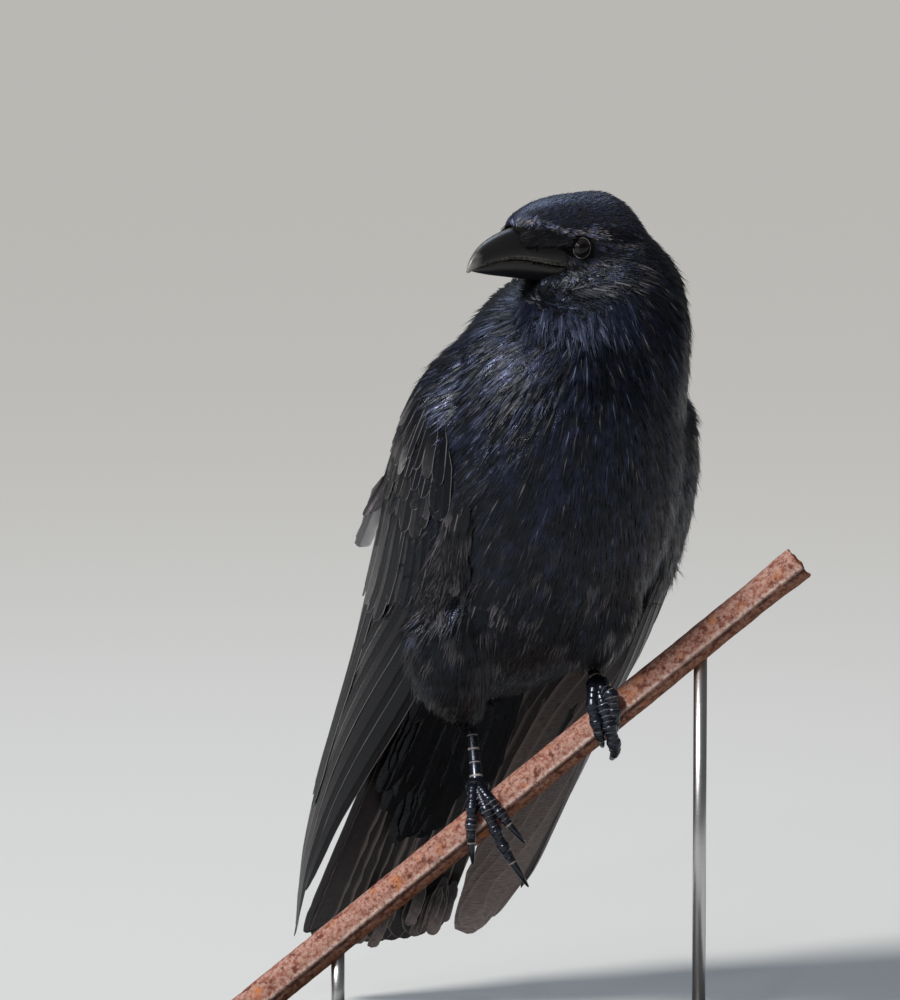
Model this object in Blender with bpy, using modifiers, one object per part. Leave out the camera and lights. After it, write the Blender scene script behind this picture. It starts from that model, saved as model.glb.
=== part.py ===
"""Carrion crow, life size, perched on a cut length of rusty tube that a plain display stand holds up.

Metres, +Z up. The origin is the centre of the stand's underside. The bird faces -Y with its body
turned a little to +X, and looks over its right shoulder, to -X. Solids are made whole and parted with
thin gaps: skin of feathers for the flesh, then bill, eyes, legs, claws, wings, tail, tube and stand.
"""

import math

import bmesh
import bpy
from mathutils import Matrix, Vector

MM = 0.001
GAP = 0.3 * MM  # air between neighbouring solids

# Stand and perch
BASE_WIDTH, BASE_DEPTH, BASE_HEIGHT = 0.240, 0.160, 0.010
BASE_CORNER = 0.012
ROD_RADIUS = 3.0 * MM
SHORT_ROD_X, LONG_ROD_X = -0.078, 0.084
COLLAR_RADIUS, COLLAR_HEIGHT = 7.0 * MM, 6.0 * MM
GRIP = Vector((0.015, 0.0, 0.135))  # on the tube's axis, midway between the feet
PERCH_SLOPE = math.radians(39.5)
PERCH_UP, PERCH_DOWN = 0.146, 0.179  # from the grip to the free end and to the cut end
PERCH_RADIUS_TOP, PERCH_RADIUS_BOTTOM = 7.2 * MM, 7.9 * MM
PERCH_FLARE = 0.8 * MM  # the battered free end is a little wider
PERCH_AXIS = Vector((math.cos(PERCH_SLOPE), 0, math.sin(PERCH_SLOPE)))

# The bird's stance: trunk centre from the grip, and how the trunk is turned
TRUNK_CENTRE = GRIP + Vector((-0.009, 0.008, 0.111))
TRUNK_YAW, TRUNK_PITCH, TRUNK_LEAN = math.radians(22), math.radians(57), math.radians(4)
HEAD_CENTRE = GRIP + Vector((0.0080, -0.012, 0.2362))  # midway between the eyes
HEAD_YAW, HEAD_PITCH = math.radians(-48), math.radians(2)


def turn(centre, lean, yaw, pitch):
    """Frame whose x is the bird's left, -y its front and z its upper side."""
    return (
        Matrix.Translation(centre)
        @ Matrix.Rotation(lean, 4, "Y")
        @ Matrix.Rotation(yaw, 4, "Z")
        @ Matrix.Rotation(-pitch, 4, "X")
    )


TRUNK = turn(TRUNK_CENTRE, TRUNK_LEAN, TRUNK_YAW, TRUNK_PITCH)
HEAD = turn(HEAD_CENTRE, 0, HEAD_YAW, HEAD_PITCH)


def clear_scene():
    for obj in list(bpy.data.objects):
        bpy.data.objects.remove(obj)


def collection_named(name):
    made = bpy.data.collections.new(name)
    bpy.context.scene.collection.children.link(made)
    return made


clear_scene()
PARTS = collection_named("carrion_crow")
CUTTERS = collection_named("cutters")


def material_of(name, colour, roughness, metallic=0.0):
    made = bpy.data.materials.new(name)
    made.use_nodes = True
    shader = made.node_tree.nodes["Principled BSDF"]
    shader.inputs["Base Color"].default_value = (*colour, 1)
    shader.inputs["Roughness"].default_value = roughness
    shader.inputs["Metallic"].default_value = metallic
    return made


PLUMAGE = material_of("plumage", (0.012, 0.012, 0.015), 0.5)
FLIGHT = material_of("flight_feathers", (0.018, 0.016, 0.017), 0.4)
HORN = material_of("horn", (0.015, 0.015, 0.017), 0.3)
LEG_SKIN = material_of("leg_skin", (0.014, 0.014, 0.017), 0.35)
EYE_BALL = material_of("eye", (0.010, 0.008, 0.007), 0.05)
RUST = material_of("rusty_steel", (0.30, 0.14, 0.09), 0.8, 0.2)
STAND_PAINT = material_of("stand_paint", (0.10, 0.10, 0.10), 0.5)
STEEL = material_of("stand_steel", (0.55, 0.55, 0.56), 0.3, 1.0)


def object_from(bm, name, material=None, home=PARTS):
    bmesh.ops.recalc_face_normals(bm, faces=bm.faces)
    mesh = bpy.data.meshes.new(name)
    bm.to_mesh(mesh)
    bm.free()
    made = bpy.data.objects.new(name, mesh)
    home.objects.link(made)
    if material:
        mesh.materials.append(material)
    return made


def ring_loft(rings):
    """Closed mesh through rings of points, each ring with as many points as the last."""
    bm = bmesh.new()
    loops = []
    for ring in rings:
        verts = [bm.verts.new(p) for p in ring]
        edges = [bm.edges.new((a, b)) for a, b in zip(verts, verts[1:] + verts[:1])]
        loops.append((verts, edges))
    for (_, near), (_, far) in zip(loops, loops[1:]):
        bmesh.ops.bridge_loops(bm, edges=near + far)
    caps = [bm.faces.new(loops[0][0]), bm.faces.new(loops[-1][0])]
    bmesh.ops.triangulate(bm, faces=caps)
    return bm


def oval(frame, centre, across, up, down, count=20, power=1.0):
    """Ring round a station: half-width across, half-heights up and down, in the frame's x and z."""
    points = []
    for i in range(count):
        angle = 2 * math.pi * i / count
        c, s = math.cos(angle), math.sin(angle)
        x = across * math.copysign(abs(c) ** power, c)
        z = (up if s > 0 else down) * math.copysign(abs(s) ** power, s)
        points.append(frame @ (Vector(centre) + Vector((x, 0, z))))
    return points


def blended(stations, t):
    """Catmull-Rom value of a table of equal-length stations at t, from 0 to the last index."""
    last = len(stations) - 1
    i = min(int(t), last - 1)
    f = t - i
    quad = [stations[max(0, min(last, k))] for k in (i - 1, i, i + 1, i + 2)]
    return [
        0.5
        * (
            2 * b
            + (c - a) * f
            + (2 * a - 5 * b + 4 * c - d) * f * f
            + (3 * b - a - 3 * c + d) * f * f * f
        )
        for a, b, c, d in zip(*quad)
    ]


def evaluated_mesh(obj):
    graph = bpy.context.evaluated_depsgraph_get()
    return bpy.data.meshes.new_from_object(obj.evaluated_get(graph))


def settle(obj):
    """Keeps what the object's modifiers make as its own mesh."""
    bpy.context.view_layer.update()
    mesh = evaluated_mesh(obj)
    obj.modifiers.clear()
    obj.data = mesh
    return obj


def fuse(objects, name, material, voxel, keep, smooth=6):
    """One closed skin round several overlapping closed shapes, with a share of its faces kept."""
    whole = bmesh.new()
    for obj in objects:
        whole.from_mesh(obj.data)
        bpy.data.objects.remove(obj)
    made = object_from(whole, name, material)
    remesh = made.modifiers.new("skin", "REMESH")
    remesh.mode = "VOXEL"
    remesh.voxel_size = voxel
    relax = made.modifiers.new("relax", "SMOOTH")
    relax.factor = 0.5
    relax.iterations = smooth
    thin = made.modifiers.new("thin", "DECIMATE")
    thin.ratio = keep
    settle(made)
    tidy(made.data, 0.05 * MM)
    return made


def tidy(mesh, reach=0.0):
    """Joins points within reach and drops faces with no area, if asked, and leaves triangles only."""
    bm = bmesh.new()
    bm.from_mesh(mesh)
    if reach:
        bmesh.ops.remove_doubles(bm, verts=bm.verts, dist=reach)
        bmesh.ops.dissolve_degenerate(bm, dist=reach, edges=bm.edges)
    # two faces that share a pair of corners would both be cut along it: one gets a point amid it
    bm.verts.index_update()
    trial = bm.copy()
    bmesh.ops.triangulate(trial, faces=trial.faces)
    shared = [{v.index for v in edge.verts} for edge in trial.edges if len(edge.link_faces) > 2]
    trial.free()
    for pair in shared:
        for face in list(bm.faces):
            if len(face.verts) > 3 and pair <= {v.index for v in face.verts}:
                bmesh.ops.poke(bm, faces=[face])
                bm.verts.index_update()
                break
    bmesh.ops.triangulate(bm, faces=bm.faces)
    bm.to_mesh(mesh)
    bm.free()


def closed_volume(mesh):
    """Volume of a mesh if every edge of it joins two faces, and 0 if not."""
    bm = bmesh.new()
    bm.from_mesh(mesh)
    closed = bm.faces and all(edge.is_manifold for edge in bm.edges)
    volume = bm.calc_volume(signed=True) if closed else 0.0
    bm.free()
    return volume


def inflated(obj, by=GAP):
    """Hidden copy of a solid, grown outwards by a gap, to cut its neighbours with."""
    cutter = bpy.data.objects.new(obj.name + "_cutter", obj.data.copy())
    CUTTERS.objects.link(cutter)
    cutter.matrix_world = obj.matrix_world
    grow = cutter.modifiers.new("grow", "DISPLACE")
    grow.mid_level = 0
    grow.strength = by
    settle(cutter)
    cutter.hide_render = True
    cutter.display_type = "WIRE"
    return cutter


def cut(obj, *neighbours, by=GAP):
    """Takes the neighbours out of a solid, one by one, and keeps its largest piece."""
    for other in neighbours:
        whole = closed_volume(obj.data)
        # a Boolean of two skins can leave an open edge: the points at it are joined, or the gap is
        # widened a hair and it is made again
        for attempt in range(24):
            cutter = inflated(other, by * (1 + 0.03 * (attempt // 6)))
            modifier = obj.modifiers.new("clear_" + other.name, "BOOLEAN")
            modifier.operation = "DIFFERENCE"
            modifier.solver = "EXACT"
            modifier.use_self = attempt % 2 == 1
            modifier.object = cutter
            bpy.context.view_layer.update()
            trial = evaluated_mesh(obj)
            obj.modifiers.clear()
            bpy.data.objects.remove(cutter)
            tidy(trial, 0.001 * MM * (attempt // 2 % 3))
            if 0.1 * whole < closed_volume(trial) < 1.01 * whole:
                obj.data = trial
                break
        else:
            raise RuntimeError(f"{obj.name} can't be cleared of {other.name}")
        keep_largest(obj)
    return obj


def keep_largest(obj):
    """Drops all but the island of the mesh with the most room in it."""
    bm = bmesh.new()
    bm.from_mesh(obj.data)
    left, islands = set(bm.faces), []
    while left:
        stack = [left.pop()]
        island = set(stack)
        while stack:
            for edge in stack.pop().edges:
                for other in edge.link_faces:
                    if other in left:
                        left.discard(other)
                        stack.append(other)
                        island.add(other)
        islands.append(island)

    def room(island):
        return abs(sum(f.normal.dot(f.calc_center_median()) * f.calc_area() for f in island))

    islands.sort(key=room, reverse=True)
    spare = [face for island in islands[1:] for face in island]
    bmesh.ops.delete(bm, geom=spare, context="FACES")
    bmesh.ops.delete(bm, geom=[v for v in bm.verts if not v.link_faces], context="VERTS")
    bm.to_mesh(obj.data)
    bm.free()


def half(obj, name, point, normal, material=None):
    """New solid: the side of obj that lies beyond a plane, in the normal's direction."""
    bm = bmesh.new()
    bm.from_mesh(obj.data)
    bmesh.ops.remove_doubles(bm, verts=bm.verts, dist=2e-6)
    geom = bm.verts[:] + bm.edges[:] + bm.faces[:]
    bmesh.ops.bisect_plane(bm, geom=geom, plane_co=point, plane_no=normal, clear_inner=True, dist=1e-6)
    bmesh.ops.holes_fill(bm, edges=[e for e in bm.edges if e.is_boundary])
    bmesh.ops.triangulate(bm, faces=bm.faces)
    return object_from(bm, name, material or obj.data.materials[0])


def part_at(obj, name_near, name_far, point, normal, material=None):
    """Parts a solid at a plane with a thin gap, and removes the whole one."""
    normal = Vector(normal).normalized()
    far = half(obj, name_far, point + normal * GAP / 2, normal, material)
    near = half(obj, name_near, point - normal * GAP / 2, -normal, material)
    bpy.data.objects.remove(obj)
    return near, far


# ------------------------------------------------------------------ body, neck and head
SWAY, SWAY_AT, SWAY_REACH = 6.4 * MM, 36.0, 85.0
# Each station of the trunk: tailward of its centre along its axis, dorsal offset, half-width,
# dorsal and ventral half-depths, in millimetres, from the root of the tail to inside the neck.
TRUNK_STATIONS = (
    (100, -2, 9, 7, 9),
    (88, -3, 21, 13, 19),
    (68, -4, 36, 24, 33),
    (40, -4, 50, 40, 47),
    (10, -2, 58, 50, 54),
    (-22, 0, 62, 55, 56),
    (-52, 4, 60, 52, 53),
    (-78, 10, 52, 46, 48),
    (-98, 15, 39, 34, 40),
    (-111, 19, 20, 18, 22),
)
# The head: ahead of the eyes, height of the middle, half-width, half-heights up and down.
HEAD_STATIONS = (
    (37, 0.5, 4, 7, 5.5),
    (34.5, 1, 7.3, 10.5, 8),
    (30, 1.5, 9.8, 13.8, 10.5),
    (20, 1.5, 13.8, 18.3, 15),
    (10, 1, 16.3, 21.0, 18),
    (0, 0.5, 17.6, 22.5, 18.5),
    (-10, 0, 20, 23.4, 21.5),
    (-20, -1, 21.5, 24.4, 24.5),
    (-30, -4, 20.5, 23.2, 26),
    (-39, -9, 15.5, 17.5, 22),
    (-45, -12, 8, 9, 14),
)
# The neck, upright: middle from the grip, half-widths across and fore-and-aft.
NECK_STATIONS = (
    (5, -8, 165, 58, 50),
    (13, -9, 188, 52, 45),
    (17, -7, 208, 47, 38),
    (26, -1, 225, 33, 29),
    (26, 3, 238, 21, 20),
    (25, 3, 246, 12, 12),
)


def sway(tailward):
    """Sideways bow of the trunk and wings to the bird's left, greatest at the belly."""
    return SWAY * math.exp(-(((tailward - SWAY_AT) / SWAY_REACH) ** 2))


def loft_through(frame, table, steps, name):
    """Closed oval skin through stations given as (tailward, rise, across, up, down)."""
    rings = []
    for k in range(steps + 1):
        back, rise, across, up, down = blended(table, (len(table) - 1) * k / steps)
        aside = sway(back) if frame is TRUNK else 0.0
        rings.append(oval(frame, (aside, back * MM, rise * MM), across * MM, up * MM, down * MM, 24))
    return object_from(ring_loft(rings), name, PLUMAGE)


def upright_loft(table, steps, name):
    """Closed skin through level rings given as (x, y, z, across, deep) from the grip."""
    rings = []
    for k in range(steps + 1):
        x, y, z, across, deep = blended(table, (len(table) - 1) * k / steps)
        centre = GRIP + Vector((x, y, z)) * MM
        angles = [2 * math.pi * i / 14 for i in range(14)]
        rings.append([centre + Vector((across * math.cos(a), deep * math.sin(a), 0)) * MM for a in angles])
    return object_from(ring_loft(rings), name, PLUMAGE)


def make_flesh():
    head_table = [(-ahead, *rest) for ahead, *rest in HEAD_STATIONS]
    shapes = [
        loft_through(TRUNK, TRUNK_STATIONS, 30, "trunk_loft"),
        loft_through(HEAD, head_table, 26, "head_loft"),
        upright_loft(NECK_STATIONS, 14, "neck_loft"),
    ]
    return fuse(shapes, "flesh", PLUMAGE, 2.6 * MM, 0.037)


# ------------------------------------------------------------------ bill and eyes
# Upper mandible: ahead of the eyes, culmen height, tomium height, half-width.
UPPER_BILL = (
    (14, 10.5, -8.0, 8.0),
    (24, 9.6, -6.2, 8.0),
    (33, 8.2, -4.9, 7.2),
    (41, 5.8, -5.0, 6.0),
    (48, 2.6, -6.3, 4.5),
    (53, -1.2, -7.9, 3.0),
    (56.3, -5.2, -9.6, 1.7),
    (57.6, -8.3, -10.4, 0.7),
)
# Lower mandible: ahead of the eyes, tomium height, height of its underside, half-width.
LOWER_BILL = (
    (8, -9.6, -16.3, 8.0),
    (18, -7.8, -15.0, 7.7),
    (28, -6.0, -13.8, 7.0),
    (37, -5.4, -12.7, 5.9),
    (45, -6.2, -11.7, 4.4),
    (51, -7.8, -10.7, 2.7),
    (54.6, -9.1, -9.9, 1.1),
)
EYE_RADIUS = 5.4 * MM
EYE_AHEAD, EYE_RISE, EYE_OUT = 4.0 * MM, 1.3 * MM, 11.8 * MM


def mandible(stations, name, arched):
    """Half-oval loft: arched above its flat tomium, or hanging below it."""
    rings = []
    steps = 11
    for k in range(steps + 1):
        ahead, high, low, across = blended(stations, (len(stations) - 1) * k / steps)
        edge, peak = (low, high) if arched else (high, low)
        ring = []
        for i in range(9):
            angle = math.pi * i / 8
            c, s = math.cos(angle), math.sin(angle)
            x = across * math.copysign(abs(c) ** 0.8, c)
            ring.append(HEAD @ (Vector((x, -ahead, edge + (peak - edge) * s ** 1.05)) * MM))
        # the flat of the tomium dips a little between its two cutting edges
        for i in range(1, 4):
            x = across * (-1 + 2 * i / 4)
            hollow = 0.12 * (peak - edge)
            ring.append(HEAD @ (Vector((x, -ahead, edge + hollow * (1 - abs(x) / across))) * MM))
        rings.append(ring)
    made = object_from(ring_loft(rings), name, HORN)
    made.data.shade_smooth()
    return made


def make_eye(side, name):
    bm = bmesh.new()
    place = HEAD @ Matrix.Translation((side * EYE_OUT, -EYE_AHEAD, EYE_RISE))
    bmesh.ops.create_uvsphere(bm, u_segments=12, v_segments=8, radius=EYE_RADIUS, matrix=place)
    made = object_from(bm, name, EYE_BALL)
    made.data.shade_smooth()
    return made


# ------------------------------------------------------------------ tubes: toes, tarsi, claws
def tube(points, radii, sides=10):
    """Rings across a smooth line of points, turned without twist."""
    rings = []
    side = None
    for i, (point, radius) in enumerate(zip(points, radii)):
        along = (points[min(i + 1, len(points) - 1)] - points[max(i - 1, 0)]).normalized()
        side = (side or along.orthogonal()).normalized()
        side = (side - along * side.dot(along)).normalized()
        up = along.cross(side)
        angles = [2 * math.pi * k / sides for k in range(sides)]
        rings.append([point + (side * math.cos(a) + up * math.sin(a)) * radius for a in angles])
    return ring_loft(rings)


def smooth_line(points, steps):
    """Points along a Catmull-Rom line through the given ones."""
    table = [tuple(p) for p in points]
    return [Vector(blended(table, (len(table) - 1) * k / steps)) for k in range(steps + 1)]


def toe_direction(drop, swing):
    """Forwards at a drop of 0, down at 90, back under the perch past it; swing turns it to +X."""
    drop, swing = math.radians(drop), math.radians(swing)
    down = Vector((math.sin(swing), 0, -math.cos(swing)))
    return Vector((0, -1, 0)) * math.cos(drop) + down * math.sin(drop)


# A foot: palm from the grip, hock from the grip, and for each toe its phalanges as
# (length, drop, swing), from the palm out. The last entry of a toe is its claw.
RIGHT_FOOT = {
    "palm": (-30.5, 2.5, -8.5),
    "hock": (-36, 27, 46),
    "toes": {
        "inner": ((8, 15, -62), (8, 62, -4), (8, 84, -3), (7, 92, 0), (10.5, 96, 4)),
        "middle": ((8, 15, 24), (10, 52, 26), (10, 80, 24), (8, 88, 26), (7, 90, 30), (13.5, 96, 32)),
        "outer": ((8, 15, 70), (7, 50, 44), (7, 76, 40), (6, 86, 38), (11.5, 92, 40)),
        "hind": ((8, 165, 20), (9, 132, 34), (6, 100, 40), (12, 62, 44)),
    },
}
LEFT_FOOT = {
    "palm": (23.5, 3.0, 37.0),
    "hock": (9, 43, 73),
    "toes": {
        "inner": ((7, 12, -40), (8, 50, 16), (8, 84, 18), (7, 104, 16), (11, 140, 12)),
        "middle": ((7, 10, 14), (10, 46, 18), (9, 80, 16), (8, 104, 14), (6, 128, 8), (12, 150, -20)),
        "outer": ((8, 12, 76), (7, 40, 60), (8, 84, 8), (7, 112, 4), (10, 146, 0)),
        "hind": ((8, 165, 20), (9, 128, 24), (6, 96, 20), (12, 58, 14)),
    },
}
TOE_RADIUS, TOE_TIP_RADIUS = 2.45 * MM, 1.9 * MM
PALM_RADIUS = 3.6 * MM
TARSUS_RADIUS = 2.7 * MM
CLAW_RADIUS = 1.55 * MM
CLAW_CURL = math.radians(38)


def toe_joints(foot, toe):
    """Joints of a toe from the palm to the root of its claw, and the claw's own direction."""
    joints = [GRIP + Vector(foot["palm"]) * MM]
    *bones, (claw_length, drop, swing) = foot["toes"][toe]
    for length, bone_drop, bone_swing in bones:
        joints.append(joints[-1] + toe_direction(bone_drop, bone_swing) * length * MM)
    return joints, toe_direction(drop, swing), claw_length * MM


def make_foot(foot, name):
    """Palm and four toes in one piece, with knuckles, pressed flat where they meet the perch."""
    shapes = []
    for toe in foot["toes"]:
        joints, _, _ = toe_joints(foot, toe)
        bones = len(joints) - 1
        line = smooth_line(joints, bones * 4)
        radii = []
        for k in range(len(line)):
            t = k / (len(line) - 1)
            knuckle = 0.25 * MM * math.cos(2 * math.pi * k / 4)
            radii.append(TOE_RADIUS + (TOE_TIP_RADIUS - TOE_RADIUS) * t + knuckle)
        shapes.append(object_from(tube(line, radii), toe, LEG_SKIN))
    palm = GRIP + Vector(foot["palm"]) * MM
    hock = GRIP + Vector(foot["hock"]) * MM
    up = (hock - palm).normalized()
    ankle = [palm - up * 1.5 * MM, palm + up * 2.5 * MM, palm + up * 6 * MM, palm + up * 9 * MM]
    shapes.append(
        object_from(tube(ankle, [PALM_RADIUS, PALM_RADIUS, TARSUS_RADIUS * 1.2, TARSUS_RADIUS]), "ankle", LEG_SKIN)
    )
    return fuse(shapes, name, LEG_SKIN, 0.75 * MM, 0.056, smooth=3)


def make_tarsus(foot, name):
    palm = GRIP + Vector(foot["palm"]) * MM
    hock = GRIP + Vector(foot["hock"]) * MM
    line = [palm.lerp(hock, t) for t in (0.05, 0.15, 0.35, 0.6, 0.85, 1.0, 1.08)]
    radii = [TARSUS_RADIUS * k for k in (1.0, 1.0, 0.97, 0.97, 1.05, 1.35, 1.0)]
    return object_from(tube(line, radii, 9), name, LEG_SKIN)


def make_claw(foot, toe, name):
    """Curved cone that grows out of the toe's tip and hooks down."""
    joints, direction, length = toe_joints(foot, toe)
    hook = direction.cross(toe_direction(90, 0).cross(direction)).normalized()
    sweep = toe_direction(170, 0) if toe != "hind" else toe_direction(20, 0)
    hook = (sweep - direction * sweep.dot(direction)).normalized()
    points, radii = [], []
    at = joints[-1] - direction * 1.5 * MM
    steps = 6
    for k in range(steps + 1):
        t = k / steps
        bend = CLAW_CURL * (t - 0.3)
        points.append(at.copy())
        radii.append(CLAW_RADIUS * (1 - t) ** 0.7 + 0.28 * MM)
        heading = direction * math.cos(bend) + hook * math.sin(bend)
        at += heading * (length + 1.5 * MM) / steps
    made = object_from(tube(points, radii, 6), name, HORN)
    made.data.shade_smooth()
    return made


# ------------------------------------------------------------------ thighs
# Feathered thighs, as level rings: middle from the grip, half-widths across and fore-and-aft.
RIGHT_THIGH = (
    (-34, -8, 84, 20, 20),
    (-40, -7, 66, 24, 24),
    (-43, -3, 48, 21, 23),
    (-42, 3, 34, 17, 19),
    (-38, 9, 24, 11, 13),
    (-35, 11, 19, 5, 6),
)
LEFT_THIGH = (
    (26, 0, 88, 18, 20),
    (25, 1, 76, 19, 22),
    (23, 2, 62, 17, 20),
    (21, 4, 51, 12, 15),
    (20, 5, 45, 6, 7),
)


# ------------------------------------------------------------------ wings and tail
# The folded wing lies on an oval round the trunk's axis. Stations: tailward, half-width, level of
# the widest place, rise above it, fall below it, then the angles of the leading and hind edges.
WING_STATIONS = (
    (-84, 48, 16, 34, 28, -6, 52),
    (-74, 60, 11, 44, 34, -18, 64),
    (-45, 69.5, 4, 56, 42, -34, 74),
    (-10, 72, 0, 60, 46, -42, 81),
    (25, 70, -2, 57, 48, -45, 85),
    (60, 67.5, -4, 50, 46, -43, 86),
    (95, 64, -6, 45, 40, -38, 82),
    (130, 61.5, -9, 44, 36, -30, 72),
    (165, 59.5, -12, 44, 30, -22, 56),
    (200, 57, -15, 40, 24, -14, 38),
    (230, 51.5, -15, 36, 16, -4, 20),
    (252, 47, -13, 30, 10, 2, 9),
)
LOOSE, LOOSE_AT, LOOSE_REACH = 3.2, 135.0, 70.0  # the left wing hangs a little wider
# Depth of the plate, tailward: it sinks into the trunk, whose skin then bounds it.
WING_DEPTHS = ((-84, 15), (-20, 15), (45, 15), (85, 8), (130, 4), (190, 2.6), (252, 1.6))


def wing_point(side, t, c, depth=0.0):
    """Point of the wing: t tailward in mm, c from the leading edge (0) to the hind edge (1)."""
    starts = [s[0] for s in WING_STATIONS]
    i = max(k for k in range(len(starts) - 1) if starts[k] <= t or k == 0)
    place = i + (t - starts[i]) / (starts[i + 1] - starts[i])
    _, across, level, rise, fall, lead, hind = blended(WING_STATIONS, place)
    angle = math.radians(lead + (hind - lead) * c)
    s = math.sin(angle)
    if side > 0:
        across += LOOSE * math.exp(-(((t - LOOSE_AT) / LOOSE_REACH) ** 2))
    x = (across - depth / MM) * math.cos(angle)
    z = level + ((rise if s > 0 else fall) - depth / MM) * s
    return TRUNK @ (Vector((side * x + sway(t) / MM, t, z)) * MM)


def interpolated(table, at):
    """Value of a table of (place, value) pairs at a place, by straight lines."""
    for (a, low), (b, high) in zip(table, table[1:]):
        if at <= b:
            return low + (high - low) * (at - a) / (b - a)
    return table[-1][1]


def make_wing(side, name):
    """Curved plate on the wing's surface, thick at the wrist and thin at its edges and tip."""
    start, end = WING_STATIONS[0][0], WING_STATIONS[-1][0]
    rings = []
    steps, across = 15, 7
    for k in range(steps + 1):
        t = start + (end - start) * k / steps
        thick = interpolated(WING_DEPTHS, t)
        shares = [i / across for i in range(across + 1)]
        outer = [wing_point(side, t, c) for c in shares]
        inner = [wing_point(side, t, c, thick * MM * (0.4 + 0.6 * math.sin(math.pi * c) ** 0.5)) for c in shares]
        rings.append(outer + inner[::-1])
    return object_from(ring_loft(rings), name, FLIGHT)


TAIL_START, TAIL_END = 82, 259
TAIL_HALF_START, TAIL_HALF_END = 31, 38
TAIL_THICKNESS = 3.0
TAIL_DROOP = -9.0
TAIL_ASIDE, TAIL_SWING = -1.0, 0.07


def make_tail():
    """Slightly spread fan, arched across, with a rounded end."""
    rings = []
    steps, across = 7, 6
    for k in range(steps + 1):
        share = k / steps
        half_width = TAIL_HALF_START + (TAIL_HALF_END - TAIL_HALF_START) * share ** 0.8
        ring = []
        for face in (1, -1):
            for i in range(across + 1):
                u = (-1 + 2 * i / across) * face
                end = TAIL_END - 16 * abs(u) ** 2.2
                t = TAIL_START + (end - TAIL_START) * share
                arch = -4.0 * u * u
                thick = TAIL_THICKNESS * (1 - 0.55 * share) * (1 - 0.6 * u ** 4)
                z = TAIL_DROOP * share + arch + face * thick / 2
                swing = TAIL_SWING * (t - TAIL_START)
                ring.append(TRUNK @ (Vector((half_width * u + TAIL_ASIDE - swing, t, z)) * MM))
        rings.append(ring)
    return object_from(ring_loft(rings), "tail", FLIGHT)


# ------------------------------------------------------------------ perch and stand
SEAM_ANGLE = math.radians(-98)  # round the bar from its upper side, towards the front
SEAM_HEIGHT, SEAM_WIDTH = 0.5 * MM, math.radians(9)


def make_perch():
    """Steel bar with a raised seam, a plain cut at its lower end and a battered, wider free end."""
    side, front = PERCH_AXIS.cross(Vector((0, 1, 0))), Vector((0, 1, 0))
    rings = []
    steps, sides = 9, 22
    for k in range(steps + 1):
        share = k / steps
        along = -PERCH_DOWN + (PERCH_UP + PERCH_DOWN) * share
        radius = PERCH_RADIUS_BOTTOM + (PERCH_RADIUS_TOP - PERCH_RADIUS_BOTTOM) * share
        radius += PERCH_FLARE * max(0.0, share - 0.92) / 0.08
        ring = []
        for i in range(sides):
            a = 2 * math.pi * i / sides
            away = math.atan2(math.sin(a - SEAM_ANGLE), math.cos(a - SEAM_ANGLE)) / SEAM_WIDTH
            r = radius + SEAM_HEIGHT * math.exp(-away * away)
            ring.append(GRIP + PERCH_AXIS * along + (-side * math.cos(a) + front * math.sin(a)) * r)
        rings.append(ring)
    return object_from(ring_loft(rings), "perch", RUST)


def make_base():
    bm = bmesh.new()
    size = Matrix.Diagonal((BASE_WIDTH, BASE_DEPTH, BASE_HEIGHT, 1))
    bmesh.ops.create_cube(bm, size=1, matrix=Matrix.Translation((0, 0, BASE_HEIGHT / 2)) @ size)
    uprights = [e for e in bm.edges if abs((e.verts[0].co - e.verts[1].co).z) > BASE_HEIGHT / 2]
    bmesh.ops.bevel(bm, geom=uprights, offset=BASE_CORNER, segments=5, affect="EDGES", profile=0.5)
    top = [e for e in bm.edges if all(abs(v.co.z - BASE_HEIGHT) < 1e-6 for v in e.verts)]
    bmesh.ops.bevel(bm, geom=top, offset=1.5 * MM, segments=2, affect="EDGES", profile=0.5)
    return object_from(bm, "stand_base", STAND_PAINT)


def make_rod(x, name):
    """Upright steel rod from just above the base to the underside of the perch."""
    top = GRIP.z + (x - GRIP.x) * math.tan(PERCH_SLOPE)
    bottom = BASE_HEIGHT + GAP
    bm = bmesh.new()
    place = Matrix.Translation((x, 0, (top + bottom) / 2))
    bmesh.ops.create_cone(
        bm, cap_ends=True, segments=10, radius1=ROD_RADIUS, radius2=ROD_RADIUS, depth=top - bottom, matrix=place
    )
    return object_from(bm, name, STEEL)


def make_collar(x, name):
    bm = bmesh.new()
    bottom = BASE_HEIGHT + GAP
    place = Matrix.Translation((x, 0, bottom + COLLAR_HEIGHT / 2))
    bmesh.ops.create_cone(
        bm,
        cap_ends=True,
        segments=10,
        radius1=COLLAR_RADIUS,
        radius2=COLLAR_RADIUS * 0.8,
        depth=COLLAR_HEIGHT,
        matrix=place,
    )
    return object_from(bm, name, STEEL)


# ------------------------------------------------------------------ assembly
flesh = make_flesh()
perch = make_perch()
make_base()
for label, rod_x in (("short", SHORT_ROD_X), ("long", LONG_ROD_X)):
    rod = cut(make_rod(rod_x, "stand_rod_" + label), perch)
    cut(make_collar(rod_x, "stand_collar_" + label), rod)

upper = mandible(UPPER_BILL, "bill_upper", arched=True)
lower = mandible(LOWER_BILL, "bill_lower", arched=False)
cut(lower, upper)
left_eye, right_eye = make_eye(1, "eye_left"), make_eye(-1, "eye_right")
cut(flesh, upper, lower, left_eye, right_eye)

NECK_TOP = HEAD @ Vector((0, 12 * MM, -26 * MM))
NECK_FOOT = TRUNK @ Vector((0, -86 * MM, 0))
body, head = part_at(flesh, "body_rest", "head", NECK_TOP, Vector((-0.30, -0.25, 1.0)))
trunk, neck = part_at(body, "trunk", "neck", NECK_FOOT, TRUNK.to_3x3() @ Vector((0, -1, 0.25)))

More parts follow.
